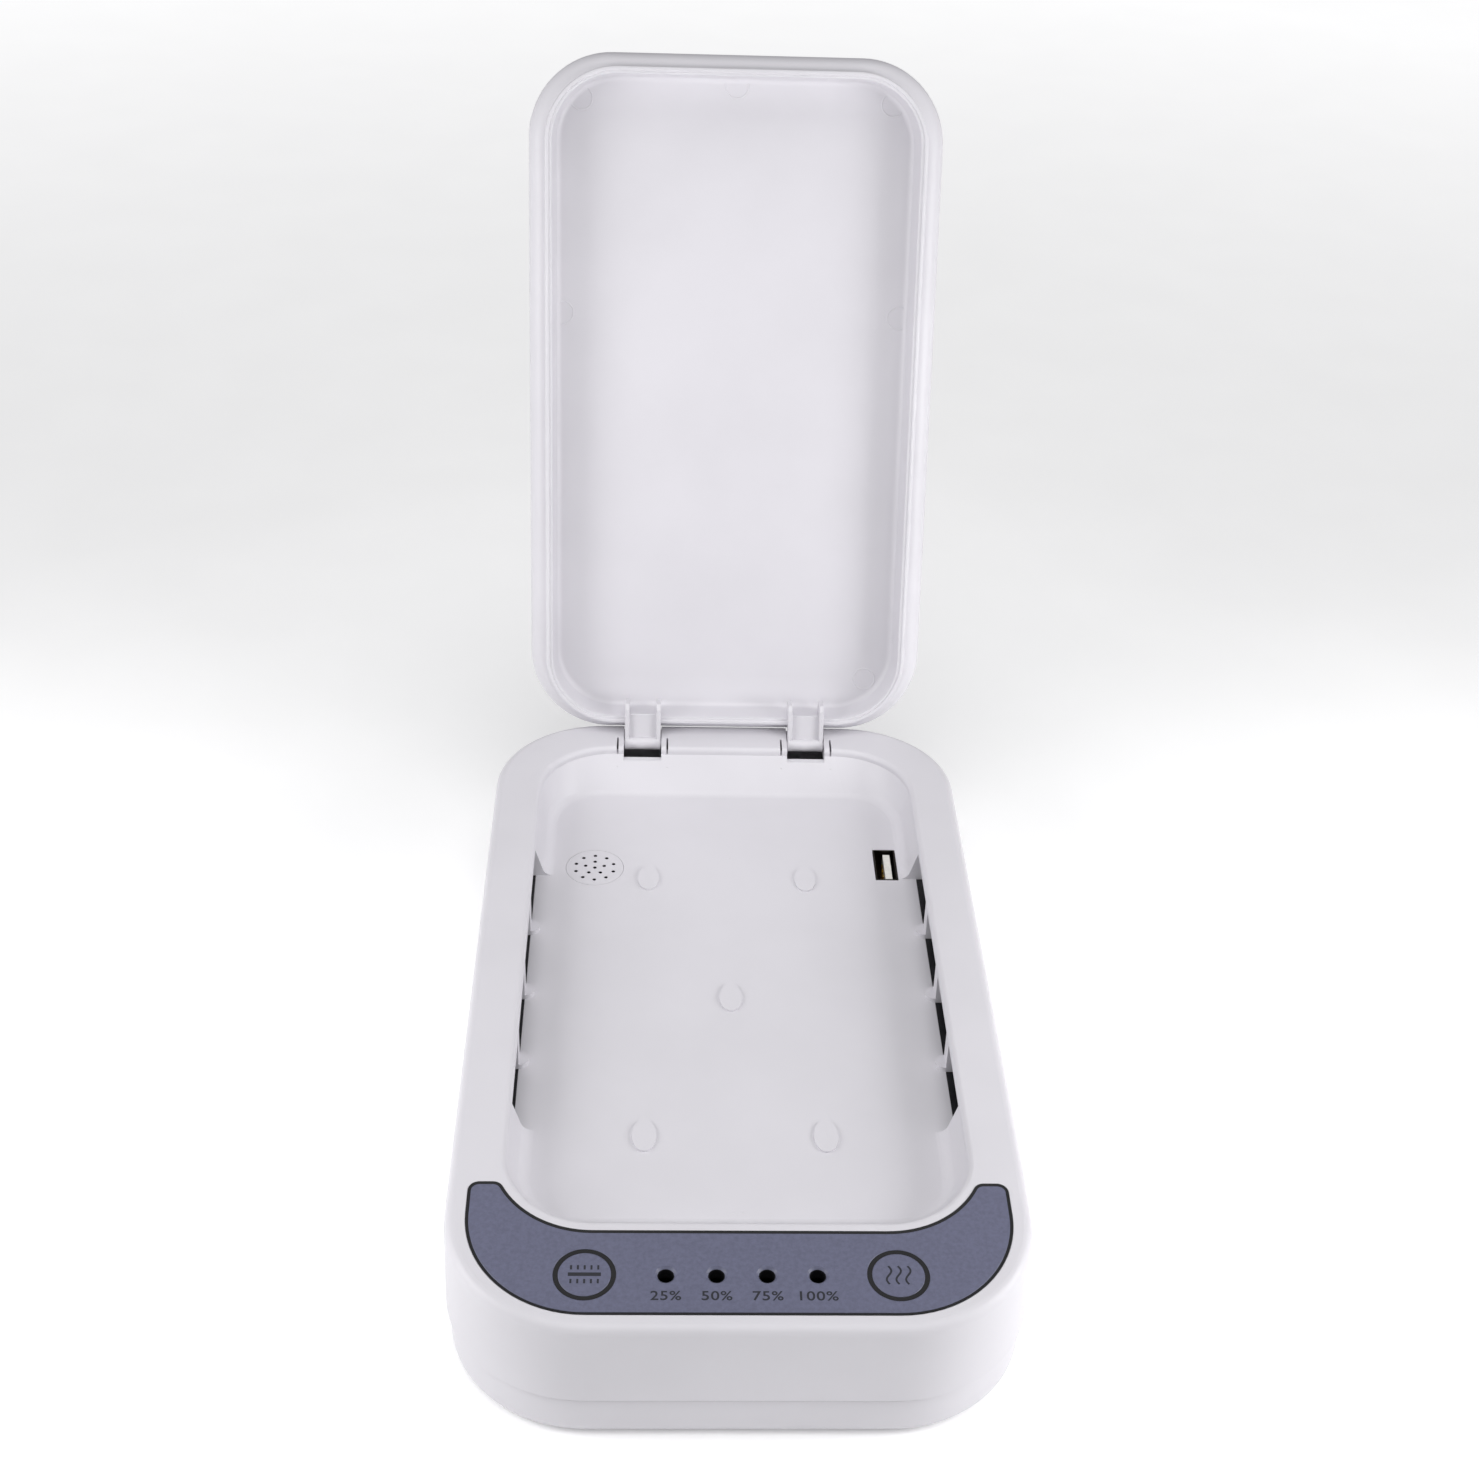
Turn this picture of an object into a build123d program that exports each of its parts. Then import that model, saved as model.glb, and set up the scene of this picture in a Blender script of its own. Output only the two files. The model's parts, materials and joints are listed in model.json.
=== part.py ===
from build123d import *
from math import cos, pi, radians, sin, tan
import os

# UV sanitizer box for phones, lid open. Millimetres, X to the right, Y to the rear, Z up.
# The origin is on the table, under the middle of the body.

# ---------------------------------------------------------------- body
body_width = 125.0
body_length = 218.2
front_corner_radius = 30.4
rear_corner_radius = 28.8
upper_height = 23.6
lower_height = 11.4
wall_draft = 1.2
body_wall = 2.0
deck_thickness = 2.4
deck_edge_radius = 2.3
base_thickness = 2.0
base_edge_radius = 2.6
seam_step = 0.65
lip_height = 1.8
lip_thickness = 1.0
lip_clearance = 0.1
front_slope_angle = 4.0
front_slope_length = 39.7
front_slope_blend = 150.0

# ---------------------------------------------------------------- chamber
opening_side_margin = 12.1
opening_rear_margin = 12.8
opening_front_margin = 28.0
opening_radius = 19.3
rim_radius = 1.3
rim_land = 2.0
chamber_depth = 10.2
chamber_floor = 2.0
tub_wall = 1.6
side_lean = 2.4
end_lean = 8.2
floor_radius = 14.0
floor_edge_radius = 3.0

# ---------------------------------------------------------------- lamp windows and lamps
window_count = 4
window_length = 20.4
window_rib = 4.6
window_head = 2.0
bay_offset = -4.65
rib_tab_height = 1.2
lamp_radius = 2.0
lamp_glass = 0.4
lamp_length = 104.0
cap_wall = 0.3
cap_length = 5.0
fit_clearance = 0.03
holder_length = 7.0
reflector_sheet = 0.4
reflector_side_gap = 0.3
reflector_lip_gap = 0.1
reflector_gap = 0.2

# ---------------------------------------------------------------- phone pads on the chamber floor
pad_width = 5.6
pad_length = 10.0
pad_height = 0.5
pad_spacing_x = 41.4
pad_spacing_y = 96.1
pad_offset = -6.1

# ---------------------------------------------------------------- lid and hinge
lid_clearance = 0.3
lid_insertion = 1.5
plug_height = 1.8
lid_height = 13.0
lid_wall = 1.85
lid_roof = 2.0
lid_side_flare = 4.4
lid_front_flare = 3.3
lid_rear_flare = 2.2
lid_corner_radius = 22.0
lid_top_radius = 5.4
lid_under_radius = 4.3
lid_cavity_radius = 7.0
bead_width = 1.2
bead_height = 0.4
open_angle = 106.2
hinge_spacing = 45.9
hinge_setback = 5.4
hinge_depth = 1.9
arm_width = 10.05
arm_rib = 1.25
arm_tip_radius = 1.75
arm_reach = 5.8
arm_web_recess = 1.2
arm_depth = 1.0
arm_gap = 0.25
trunnion_radius = 1.2
trunnion_clearance = 0.05
trunnion_length = 1.3
slit_offset = 6.95
slit_width = 0.5
slit_length = 8.0
cheek_drop = 3.2
notch_drop = 1.4
notch_lip = 0.5
slot_drop = 4.4
sill_depth = 2.0
stop_gap = 0.35

# ---------------------------------------------------------------- control panel, in the deck's sloped front
panel_thickness = 1.2
panel_gap = 0.25
panel_edge = 0.3
panel_side_margin = 4.7
panel_front_margin = 3.9
panel_inner_margin = 3.0
panel_tip_y = 1.6
panel_tip_radius = 2.2
control_row = 13.8
button_spacing = 64.8
button_radius = 5.625
button_ring = 0.75
button_edge = 0.25
button_flange = 1.1
button_flange_thickness = 0.8
button_flange_gap = 0.1
button_stem_radius = 2.0
button_travel = 0.5
led_count = 4
led_pitch = 10.45
led_hole_radius = 1.75
led_bevel = 0.5
led_radius = 1.5
led_recess = 3.2

# ---------------------------------------------------------------- control board
control_board_depth = 10.0
control_board_width = 84.0
control_board_length = 16.0
control_board_offset = 0.2
board_thickness = 1.6
switch_size = 6.0
switch_height = 3.5
plunger_radius = 1.7
plunger_height = 1.0
plunger_engagement = 0.8
plunger_spare = 0.3
control_post_gap = 0.175

# ---------------------------------------------------------------- main board and inverter board
board_standoff = 3.2
main_board_side_margin = 32.5
main_board_rear_margin = 3.8
main_board_length = 61.3
main_board_ear = 12.0
main_board_ear_side = 7.3
main_board_ear_rear = 12.7
inverter_ribbon_gap = 3.0
inverter_front_margin = 53.1
inverter_width = 37.0
inverter_length = 50.0
post_radius = 2.75
post_inset = 4.0
pilot_radius = 0.9
board_hole_radius = 1.2
board_screw_radius = 0.85
board_screw_length = 5.4
board_head_radius = 2.0
board_head_height = 1.4
pilot_spare = 0.4

# ---------------------------------------------------------------- socket in the chamber floor
usb_side_margin = 7.7
usb_rear_margin = 39.5
usb_width = 5.72
usb_length = 13.14
usb_sheet = 0.3
usb_gap = 0.2
usb_tongue_width = 11.1
usb_tongue_thickness = 1.84
usb_tongue_recess = 0.8
usb_tongue_offset = 0.7
usb_tongue_length = 9.0
usb_contact_width = 1.0
usb_contact_thickness = 0.3
usb_contact_length = 7.0
usb_contact_pitch = 2.25
usb_contact_count = 4

# ---------------------------------------------------------------- power inlet in the rear wall
inlet_width = 7.5
inlet_height = 2.7
inlet_length = 5.6
inlet_sheet = 0.3
inlet_radius = 0.9
inlet_gap = 0.25
inlet_tongue_width = 5.4
inlet_tongue_thickness = 0.7
inlet_tongue_length = 4.0

# ---------------------------------------------------------------- aroma outlet
aroma_side_margin = 15.4
aroma_rear_margin = 42.0
aroma_disc_radius = 7.6
aroma_disc_thickness = 1.2
aroma_disc_gap = 0.1
aroma_ledge = 1.3
aroma_hole_radius = 0.5
aroma_outer_ring = 5.2
aroma_outer_count = 10
aroma_inner_ring = 2.6
aroma_inner_count = 5
aroma_cup_wall = 1.2
aroma_cup_depth = 6.0
aroma_cup_floor = 1.2
aroma_flange = 2.0
heater_thickness = 1.0
pad_clearance = 0.1

# ---------------------------------------------------------------- case screws and feet
case_screw_side_margin = 18.5
case_screw_rear_margin = 22.3
case_screw_front_margin = 15.1
case_boss_radius = 3.6
case_boss_split = 2.0
case_hole_radius = 1.6
case_pilot_radius = 1.45
case_screw_radius = 1.4
case_screw_length = 13.0
case_head_radius = 2.75
case_head_height = 2.0
case_head_gap = 0.25
case_head_seat = 5.2
foot_radius = 6.0
foot_thickness = 2.0
foot_protrusion = 0.8
foot_gap = 0.15

# ---------------------------------------------------------------- small parts on the boards
chip_size = 10.0
chip_height = 1.6
capacitor_radius = 3.1
capacitor_height = 9.0
capacitor_spacing = 9.0
capacitor_side_inset = 12.0
capacitor_rear_inset = 25.5
transformer_width = 16.0
transformer_length = 18.0
transformer_height = 11.0
core_width = 8.0
core_height = 8.0
core_overhang = 1.5

# ---------------------------------------------------------------- ribbon cable
ribbon_width = 10.0
ribbon_thickness = 0.8
ribbon_bend = 2.5
ribbon_plug_width = 13.0
ribbon_plug_length = 4.0
ribbon_plug_height = 3.0

# ---------------------------------------------------------------- places worked out from the sizes
base_z = foot_protrusion
base_top_z = base_z + base_thickness
seam_z = base_z + lower_height
deck_z = seam_z + upper_height
front_y = -body_length / 2
rear_y = body_length / 2
slope_y = front_y + front_slope_length
draft = tan(radians(wall_draft))

opening_half = body_width / 2 - opening_side_margin
opening_front = front_y + opening_front_margin
opening_rear = rear_y - opening_rear_margin
floor_z = deck_z - chamber_depth
floor_under_z = floor_z - chamber_floor
rim_z = deck_z - rim_land
deck_under_z = deck_z - deck_thickness
bay_length = window_count * window_length + (window_count - 1) * window_rib
chamber_middle_y = (opening_front + opening_rear) / 2
bay_centre_y = chamber_middle_y + bay_offset
pad_centre_y = chamber_middle_y + pad_offset
panel_tip_half = (opening_side_margin - panel_side_margin - panel_inner_margin) / 2

hinge_y = opening_rear + hinge_setback
hinge_z = deck_z - hinge_depth
hinge_axis = Axis((0, hinge_y, hinge_z), (1, 0, 0))
hinge_places = (-hinge_spacing / 2, hinge_spacing / 2)
crest_z = deck_z - lid_insertion
plug_half = opening_half - lid_clearance
plug_front = opening_front + lid_clearance
plug_rear = opening_rear - lid_clearance
plug_radius = opening_radius - lid_clearance
arm_half = arm_width / 2
cheek_inner = arm_half + arm_gap
cheek_outer = slit_offset - slit_width / 2
sill_y = hinge_y + arm_tip_radius + stop_gap

slope_axis = Axis((0, slope_y, deck_z), (1, 0, 0))
control_y = front_y + control_row
button_places = (-button_spacing / 2, button_spacing / 2)
led_places = [(i - (led_count - 1) / 2) * led_pitch for i in range(led_count)]
button_hole_radius = button_radius + button_ring
control_board_z = deck_z - control_board_depth
button_flange_radius = button_hole_radius + button_flange
control_post_x = button_spacing / 2 - button_flange_radius - control_post_gap - post_radius
control_posts = (-control_post_x, control_post_x)
button_stem_z = control_board_z + switch_height + plunger_height

board_z = base_top_z + board_standoff
board_top_z = board_z + board_thickness
usb_x = opening_half - usb_side_margin
usb_y = opening_rear - usb_rear_margin
aroma_x = aroma_side_margin - opening_half
aroma_y = opening_rear - aroma_rear_margin
main_board_left = main_board_side_margin - body_width / 2
main_board_right = usb_x + main_board_ear_side - main_board_ear
main_board_rear = rear_y - main_board_rear_margin
main_board_front = main_board_rear - main_board_length
inverter_right = -ribbon_width / 2 - inverter_ribbon_gap
inverter_left = inverter_right - inverter_width
inverter_front = front_y + inverter_front_margin
inverter_rear = inverter_front + inverter_length
main_posts = [
    (main_board_left + post_inset, main_board_front + post_inset),
    (main_board_right - post_inset, main_board_front + post_inset),
    (main_board_left + post_inset, main_board_rear - 2 * post_inset),
    (main_board_right - 2 * post_inset, main_board_rear - 2 * post_inset),
]
inverter_posts = [
    (x, y)
    for x in (inverter_left + post_inset, inverter_right - post_inset)
    for y in (inverter_front + post_inset, inverter_rear - post_inset)
]
case_screw_x = body_width / 2 - case_screw_side_margin
case_screws = [
    (x, y)
    for x in (-case_screw_x, case_screw_x)
    for y in (opening_front + case_screw_front_margin, opening_rear - case_screw_rear_margin)
]
case_split_z = seam_z + case_boss_split
case_seat_z = base_z + case_head_seat

inlet_z = board_top_z + inlet_height / 2
inlet_mouth_y = rear_y + upper_height * draft - seam_step - (seam_z - inlet_z) * draft

cap_radius = lamp_radius + cap_wall
reflector_inner_x = opening_half + tub_wall + reflector_gap
reflector_width = body_width / 2 - body_wall - reflector_side_gap - reflector_inner_x
reflector_length = lamp_length + 2 * (holder_length - cap_length)
lamp_x = reflector_inner_x + (reflector_width - reflector_sheet) / 2
reflector_z = floor_z - reflector_sheet
lamp_z = (reflector_z + deck_under_z) / 2
window_start = bay_centre_y - bay_length / 2
window_places = [window_start + i * (window_length + window_rib) for i in range(window_count)]

UP = (Align.CENTER, Align.CENTER, Align.MIN)
DOWN = (Align.CENTER, Align.CENTER, Align.MAX)


# ---------------------------------------------------------------- shared forms
def rounded_face(half_width, front, rear, front_radius, rear_radius, z):
    """A flat rounded rectangle at height z, with its own front and rear corner radii."""
    face = Pos(0, (front + rear) / 2, z) * Rectangle(2 * half_width, rear - front)
    face = fillet(face.vertices().sort_by(Axis.Y)[:2], front_radius)
    return fillet(face.vertices().sort_by(Axis.Y)[-2:], rear_radius)


def prism(face, height):
    """The face pulled straight up."""
    return extrude(face, amount=height, dir=(0, 0, 1))


def block(x0, x1, y0, y1, z0, z1):
    """A plain box between two corners."""
    centre = Pos((x0 + x1) / 2, (y0 + y1) / 2, (z0 + z1) / 2)
    return centre * Box(x1 - x0, y1 - y0, z1 - z0)


def rod(x, y, z0, z1, radius):
    """An upright cylinder."""
    return Pos(x, y, z0) * Cylinder(radius, z1 - z0, align=UP)


def rod_along_y(x, z, y0, y1, radius):
    """A cylinder that lies along the body."""
    return Pos(x, (y0 + y1) / 2, z) * Rot(90, 0, 0) * Cylinder(radius, y1 - y0)


def rod_across(x0, x1, y, z, radius):
    """A cylinder that lies across the body."""
    return Pos((x0 + x1) / 2, y, z) * Rot(0, 90, 0) * Cylinder(radius, x1 - x0)


def sloped(shape):
    """Lays what was drawn on the level deck onto the deck's sloped front."""
    return shape.rotate(slope_axis, front_slope_angle)


def grown_body_face(grow, z):
    """The body's outline on the deck, grown outward."""
    return rounded_face(
        body_width / 2 + grow,
        front_y - grow,
        rear_y + grow,
        front_corner_radius + grow,
        rear_corner_radius + grow,
        z,
    )


def upper_form(top_z, inset):
    """The drafted form of the upper housing, from top_z down to the seam."""
    grow = (deck_z - top_z) * draft - inset
    face = grown_body_face(grow, top_z)
    return extrude(face, amount=top_z - seam_z, dir=(0, 0, -1), taper=-wall_draft)


def lower_form(bottom_z, inset):
    """The drafted form of the lower shell, from the seam down to bottom_z."""
    grow = upper_height * draft - seam_step - inset
    face = grown_body_face(grow, seam_z)
    return extrude(face, amount=seam_z - bottom_z, dir=(0, 0, -1), taper=wall_draft)


def above_slope(depth):
    """Everything above the deck's sloped front and its round blend, at a depth below the surface."""
    slope = radians(front_slope_angle)
    centre_y = slope_y + front_slope_blend * tan(slope / 2)
    centre_z = deck_z - front_slope_blend
    radius = front_slope_blend - depth
    start = (0, centre_y, centre_z + radius)
    middle = (0, centre_y - radius * sin(slope / 2), centre_z + radius * cos(slope / 2))
    end = (0, centre_y - radius * sin(slope), centre_z + radius * cos(slope))
    run = 2 * front_slope_length
    front = (0, end[1] - run * cos(slope), end[2] - run * sin(slope))
    top_z = deck_z + rim_land
    outline = ThreePointArc(start, middle, end)
    outline += Polyline(end, front, (0, front[1], top_z), (0, start[1], top_z), start)
    return extrude(make_face(outline), amount=body_width, dir=(1, 0, 0), both=True)


def tub_form(grow, bottom_z):
    """The chamber's form, grown outward: leaning walls under an upright rim."""
    low = rounded_face(
        opening_half - side_lean + grow,
        opening_front + end_lean - grow,
        opening_rear - end_lean + grow,
        floor_radius + grow,
        floor_radius + grow,
        bottom_z,
    )
    high = rounded_face(
        opening_half + grow,
        opening_front - grow,
        opening_rear + grow,
        opening_radius + grow,
        opening_radius + grow,
        rim_z,
    )
    return loft([low, high], ruled=True) + prism(high, 2 * rim_land)


def bay_form(grow, bottom_z):
    """The straight bay between the two rows of lamp windows, grown outward."""
    half = opening_half + grow
    end = bay_length / 2 + grow
    return block(-half, half, bay_centre_y - end, bay_centre_y + end, bottom_z, deck_z + rim_land)


def opening_edges(shape):
    """The edges of the chamber's opening, at the deck's surface."""
    edges = []
    for edge in shape.edges():
        box = edge.bounding_box()
        inside_x = max(abs(box.min.X), abs(box.max.X)) < opening_half + 0.01
        inside_y = box.min.Y > opening_front - 0.01 and box.max.Y < opening_rear + 0.01
        on_deck = box.min.Z > rim_z + 0.2
        if inside_x and inside_y and on_deck:
            edges.append(edge)
    return edges


def crescent(gap, z):
    """The control panel's outline, drawn in by a gap: it follows the body's corners and the chamber's."""
    outer = rounded_face(
        body_width / 2 - panel_side_margin - gap,
        front_y + panel_front_margin + gap,
        0,
        front_corner_radius - panel_side_margin - gap,
        panel_tip_radius,
        z,
    )
    inner = rounded_face(
        opening_half + panel_inner_margin + gap,
        opening_front - panel_inner_margin - gap,
        opening_rear,
        opening_radius + panel_inner_margin + gap,
        opening_radius,
        z,
    )
    behind = Pos(0, slope_y - panel_tip_y - gap, z) * Rectangle(
        2 * body_width, 2 * body_width, align=(Align.CENTER, Align.MIN)
    )
    face = outer - inner - behind
    return fillet(face.vertices().sort_by(Axis.Y)[-4:], min(panel_tip_radius, panel_tip_half) - gap)


# ---------------------------------------------------------------- casings
def deck_outline_edges(shape):
    """The edges round the deck, without those that cross it."""
    edges = []
    for edge in shape.edges():
        box = edge.bounding_box()
        crosses = box.min.X < 0 < box.max.X and abs(edge.center().Y) < rear_y - rear_corner_radius
        if box.min.Z > seam_z + upper_height / 2 and not crosses:
            edges.append(edge)
    return edges


def hinge_cheeks(x):
    """The two flexible cheeks that hold an arm's trunnions, and the sill behind the arm."""
    low_z = hinge_z - cheek_drop
    front = opening_rear - rim_radius
    rear = rear_y - body_wall / 2
    return block(x - cheek_outer, x + cheek_outer, front, rear, low_z, deck_under_z)


def hinge_cuts(x):
    """The notch over its lip, the slot behind it, the relief slits and the bearing of the trunnions."""
    x0 = x - cheek_inner
    x1 = x + cheek_inner
    top_z = deck_z + rim_land
    notch = block(x0, x1, opening_rear - end_lean, hinge_y, hinge_z - notch_drop, top_z)
    slot = block(x0, x1, opening_rear + notch_lip, sill_y, hinge_z - slot_drop, top_z)
    sill = block(x0, x1, hinge_y, rear_y + body_wall, deck_z - sill_depth, top_z)
    bearing_radius = trunnion_radius + trunnion_clearance
    bearing = rod_across(x - cheek_outer, x + cheek_outer, hinge_y, hinge_z, bearing_radius)
    slits = Part()
    for side in (-1, 1):
        slit_x = x + side * slit_offset
        slits += block(
            slit_x - slit_width / 2,
            slit_x + slit_width / 2,
            hinge_y - slit_length,
            hinge_y,
            hinge_z - slot_drop,
            top_z,
        )
    return notch + slot + sill + bearing + slits


def lamp_windows():
    """Four windows in each side wall of the bay."""
    cuts = Part()
    for side in (-1, 1):
        x0, x1 = sorted((side * opening_half, side * (opening_half + 2 * tub_wall)))
        for y0 in window_places:
            cuts += block(x0, x1, y0, y0 + window_length, reflector_z, deck_z - window_head)
    return cuts


def rib_tabs():
    """Low round tabs that stand on the floor at the foot of each rib between two windows."""
    tabs = Part()
    for side in (-1, 1):
        for y0 in window_places[1:]:
            y = y0 - window_rib / 2
            root_z = floor_z - chamber_floor / 2
            tabs += rod(side * opening_half, y, root_z, floor_z + rib_tab_height, window_rib / 2)
    inside = block(-opening_half, opening_half, front_y, rear_y, base_z, deck_z)
    return tabs & inside


def phone_pads():
    """Five low oval pads on the chamber floor, which hold the phone off it."""
    places = [(0, pad_centre_y)]
    for x in (-pad_spacing_x / 2, pad_spacing_x / 2):
        for y in (pad_centre_y - pad_spacing_y / 2, pad_centre_y + pad_spacing_y / 2):
            places.append((x, y))
    pads = Part()
    for x, y in places:
        oval = Pos(x, y, floor_z - chamber_floor / 2) * Ellipse(pad_width / 2, pad_length / 2)
        pads += prism(oval, chamber_floor / 2 + pad_height)
    return pads


def control_bosses():
    """The two bosses under the sloped deck that carry the control board."""
    bosses = Part()
    for x in control_posts:
        bosses += rod(x, control_y, control_board_z, deck_z - deck_thickness / 2, post_radius)
    return sloped(bosses)


def control_cuts():
    """The panel's recess with its broken edge, the holes under it, and the pilot holes in the two bosses."""
    cuts = prism(crescent(0, deck_z - panel_thickness), panel_thickness + rim_land)
    cuts += loft([crescent(0, deck_z - panel_edge), crescent(-panel_edge, deck_z)], ruled=True)
    for x in button_places:
        cuts += rod(x, control_y, deck_z - 2 * deck_thickness, deck_z, button_hole_radius)
    for x in led_places:
        cuts += rod(x, control_y, deck_z - 2 * deck_thickness, deck_z, led_hole_radius)
    for x in control_posts:
        depth = board_screw_length - board_thickness + pilot_spare
        cuts += rod(x, control_y, control_board_z - pilot_spare, control_board_z + depth, pilot_radius)
    return sloped(cuts)


def upper_housing():
    """Deck, side walls and chamber in one moulding, open at the seam."""
    outer = upper_form(deck_z, 0) - above_slope(0)
    outer = fillet(deck_outline_edges(outer), deck_edge_radius)

    hollow = upper_form(deck_under_z, body_wall) - above_slope(deck_thickness)
    tub = tub_form(tub_wall, floor_under_z) + bay_form(tub_wall, floor_under_z)
    housing = outer - hollow + (tub & outer)
    for x, y in case_screws:
        housing += rod(x, y, case_split_z, floor_z - chamber_floor / 2, case_boss_radius)
    housing += control_bosses()
    for x in hinge_places:
        housing += hinge_cheeks(x)

    chamber = tub_form(0, floor_z)
    floor_edges = [e for e in chamber.edges() if e.bounding_box().max.Z < floor_z + 0.01]
    chamber = fillet(floor_edges, floor_edge_radius)
    housing -= chamber + bay_form(0, floor_z)
    housing = fillet(opening_edges(housing), rim_radius)

    housing += phone_pads() + rib_tabs()
    housing -= lamp_windows()
    housing -= control_cuts()
    for x in hinge_places:
        housing -= hinge_cuts(x)
    for x, y in case_screws:
        housing -= rod(x, y, case_split_z, floor_under_z - pilot_spare, case_pilot_radius)
    housing -= usb_block(usb_width / 2 + usb_gap, usb_length / 2 + usb_gap, board_top_z, deck_z)
    seat_radius = aroma_disc_radius + aroma_disc_gap
    housing -= rod(aroma_x, aroma_y, floor_z - aroma_disc_thickness, deck_z, seat_radius)
    housing -= rod(aroma_x, aroma_y, board_top_z, deck_z, aroma_disc_radius - aroma_ledge)
    return housing


def lower_shell():
    """The base tray, with its lip, screw bosses, board posts, foot pockets and power opening."""
    outer = lower_form(base_z, 0)
    bottom = outer.faces().sort_by(Axis.Z)[0]
    outer = fillet(bottom.edges(), base_edge_radius)
    lower_wall = body_wall + lip_clearance + lip_thickness - seam_step
    shell = outer - lower_form(base_top_z, lower_wall)

    lip_grow = upper_height * draft - body_wall - lip_clearance
    lip_root_z = seam_z - lip_height
    lip = prism(grown_body_face(lip_grow, lip_root_z), 2 * lip_height)
    shell += lip - prism(grown_body_face(lip_grow - lip_thickness, lip_root_z), 2 * lip_height)

    for x, y in case_screws:
        shell += rod(x, y, base_top_z - base_thickness / 2, case_split_z, case_boss_radius)
    for x, y in main_posts + inverter_posts:
        shell += rod(x, y, base_top_z - base_thickness / 2, board_z, post_radius)
    for x, y in case_screws:
        shell -= rod(x, y, base_z, case_split_z, case_hole_radius)
        shell -= rod(x, y, base_z, case_seat_z, case_head_radius + case_head_gap)
        shell -= rod(x, y, base_z, foot_thickness, foot_radius + foot_gap)
    for x, y in main_posts + inverter_posts:
        depth = board_screw_length - board_thickness + pilot_spare
        shell -= rod(x, y, board_z - depth, board_z, pilot_radius)
    shell -= inlet_prism(inlet_gap, inlet_mouth_y - 2 * lower_wall, 4 * lower_wall)
    return shell


def rubber_feet():
    """Four round feet in their pockets, over the case screws."""
    return [rod(x, y, 0, foot_thickness, foot_radius) for x, y in case_screws]


# ---------------------------------------------------------------- lid
def hinge_arm(x):
    """One hinge arm in the closed pose: two ribs, a web between them, a round tip and two stub trunnions."""
    root_y = plug_rear - arm_reach
    inner_y = plug_rear - lid_wall / 2
    low_z = hinge_z - arm_depth
    high_z = hinge_z + arm_tip_radius
    cavity_z = crest_z + lid_height - lid_roof
    knee = crest_z - low_z
    profile = [
        (inner_y, cavity_z - arm_reach / 2),
        (root_y, cavity_z - arm_reach),
        (root_y, crest_z),
        (root_y + knee, low_z),
        (hinge_y, low_z),
        (hinge_y, high_z),
        (inner_y, high_z),
    ]
    rib_face = make_face(Polyline([(0, y, z) for y, z in profile], close=True))
    arm = Part()
    for rib_x in (x - arm_half, x + arm_half - arm_rib):
        arm += extrude(Pos(rib_x, 0, 0) * rib_face, amount=arm_rib, dir=(1, 0, 0))
    arm += block(x - arm_half, x + arm_half, inner_y - lid_wall / 2, hinge_y, low_z + arm_web_recess, high_z)
    arm += rod_across(x - arm_half, x + arm_half, hinge_y, hinge_z, arm_tip_radius)
    reach = arm_half + trunnion_length
    arm += rod_across(x - reach, x + reach, hinge_y, hinge_z, trunnion_radius)
    return arm


def lid():
    """The lid, built closed and then swung up to its stop."""
    under_z = crest_z + plug_height
    top_z = crest_z + lid_height
    skirt_face = rounded_face(
        plug_half + lid_side_flare,
        plug_front - lid_front_flare,
        plug_rear + lid_rear_flare,
        lid_corner_radius,
        lid_corner_radius,
        under_z,
    )
    dome = prism(skirt_face, top_z - under_z)
    dome = fillet(dome.faces().sort_by(Axis.Z)[-1].edges(), lid_top_radius)
    dome = fillet(dome.faces().sort_by(Axis.Z)[0].edges(), lid_under_radius)

    plug = rounded_face(plug_half, plug_front, plug_rear, plug_radius, plug_radius, crest_z)
    dome += prism(plug, plug_height + lid_under_radius)
    cavity = prism(plug_face(lid_wall), lid_height - lid_roof)
    cavity = fillet(cavity.faces().sort_by(Axis.Z)[-1].edges(), lid_cavity_radius)
    dome -= cavity
    dome -= prism(plug_face(bead_width), bead_height)
    for x in hinge_places:
        dome += hinge_arm(x)
    return dome.rotate(hinge_axis, -open_angle)


def plug_face(inset):
    """The outline of the lid's crest, drawn in."""
    return rounded_face(
        plug_half - inset,
        plug_front + inset,
        plug_rear - inset,
        plug_radius - inset,
        plug_radius - inset,
        crest_z,
    )


# ---------------------------------------------------------------- panel, buttons and control board
def control_panel():
    """The crescent inlay, flush with the sloped deck, with its button and indicator holes."""
    edge_z = deck_z - panel_edge
    panel = prism(crescent(panel_gap, deck_z - panel_thickness), panel_thickness - panel_edge)
    panel += loft([crescent(panel_gap, edge_z), crescent(panel_gap + panel_edge, deck_z)], ruled=True)
    for x in button_places:
        panel -= rod(x, control_y, deck_z - 2 * panel_thickness, deck_z, button_hole_radius)
        bevel = Cone(button_hole_radius, button_hole_radius + button_edge, button_edge, align=DOWN)
        panel -= Pos(x, control_y, deck_z) * bevel
    for x in led_places:
        panel -= rod(x, control_y, deck_z - 2 * panel_thickness, deck_z, led_hole_radius)
        bevel = Cone(led_hole_radius, led_hole_radius + led_bevel, led_bevel, align=DOWN)
        panel -= Pos(x, control_y, deck_z) * bevel
    return sloped(panel)


def button(x):
    """A round button with its retaining flange and the stem that meets the switch."""
    flange_z = deck_under_z - button_flange_gap
    cap = rod(x, control_y, flange_z - button_flange_thickness, deck_z - button_edge, button_radius)
    bevel = Cone(button_radius, button_radius - button_edge, button_edge, align=DOWN)
    cap += Pos(x, control_y, deck_z) * bevel
    cap += rod(x, control_y, flange_z - button_flange_thickness, flange_z, button_flange_radius)
    cap += rod(x, control_y, button_stem_z, flange_z, button_stem_radius)
    return sloped(cap)


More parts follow.
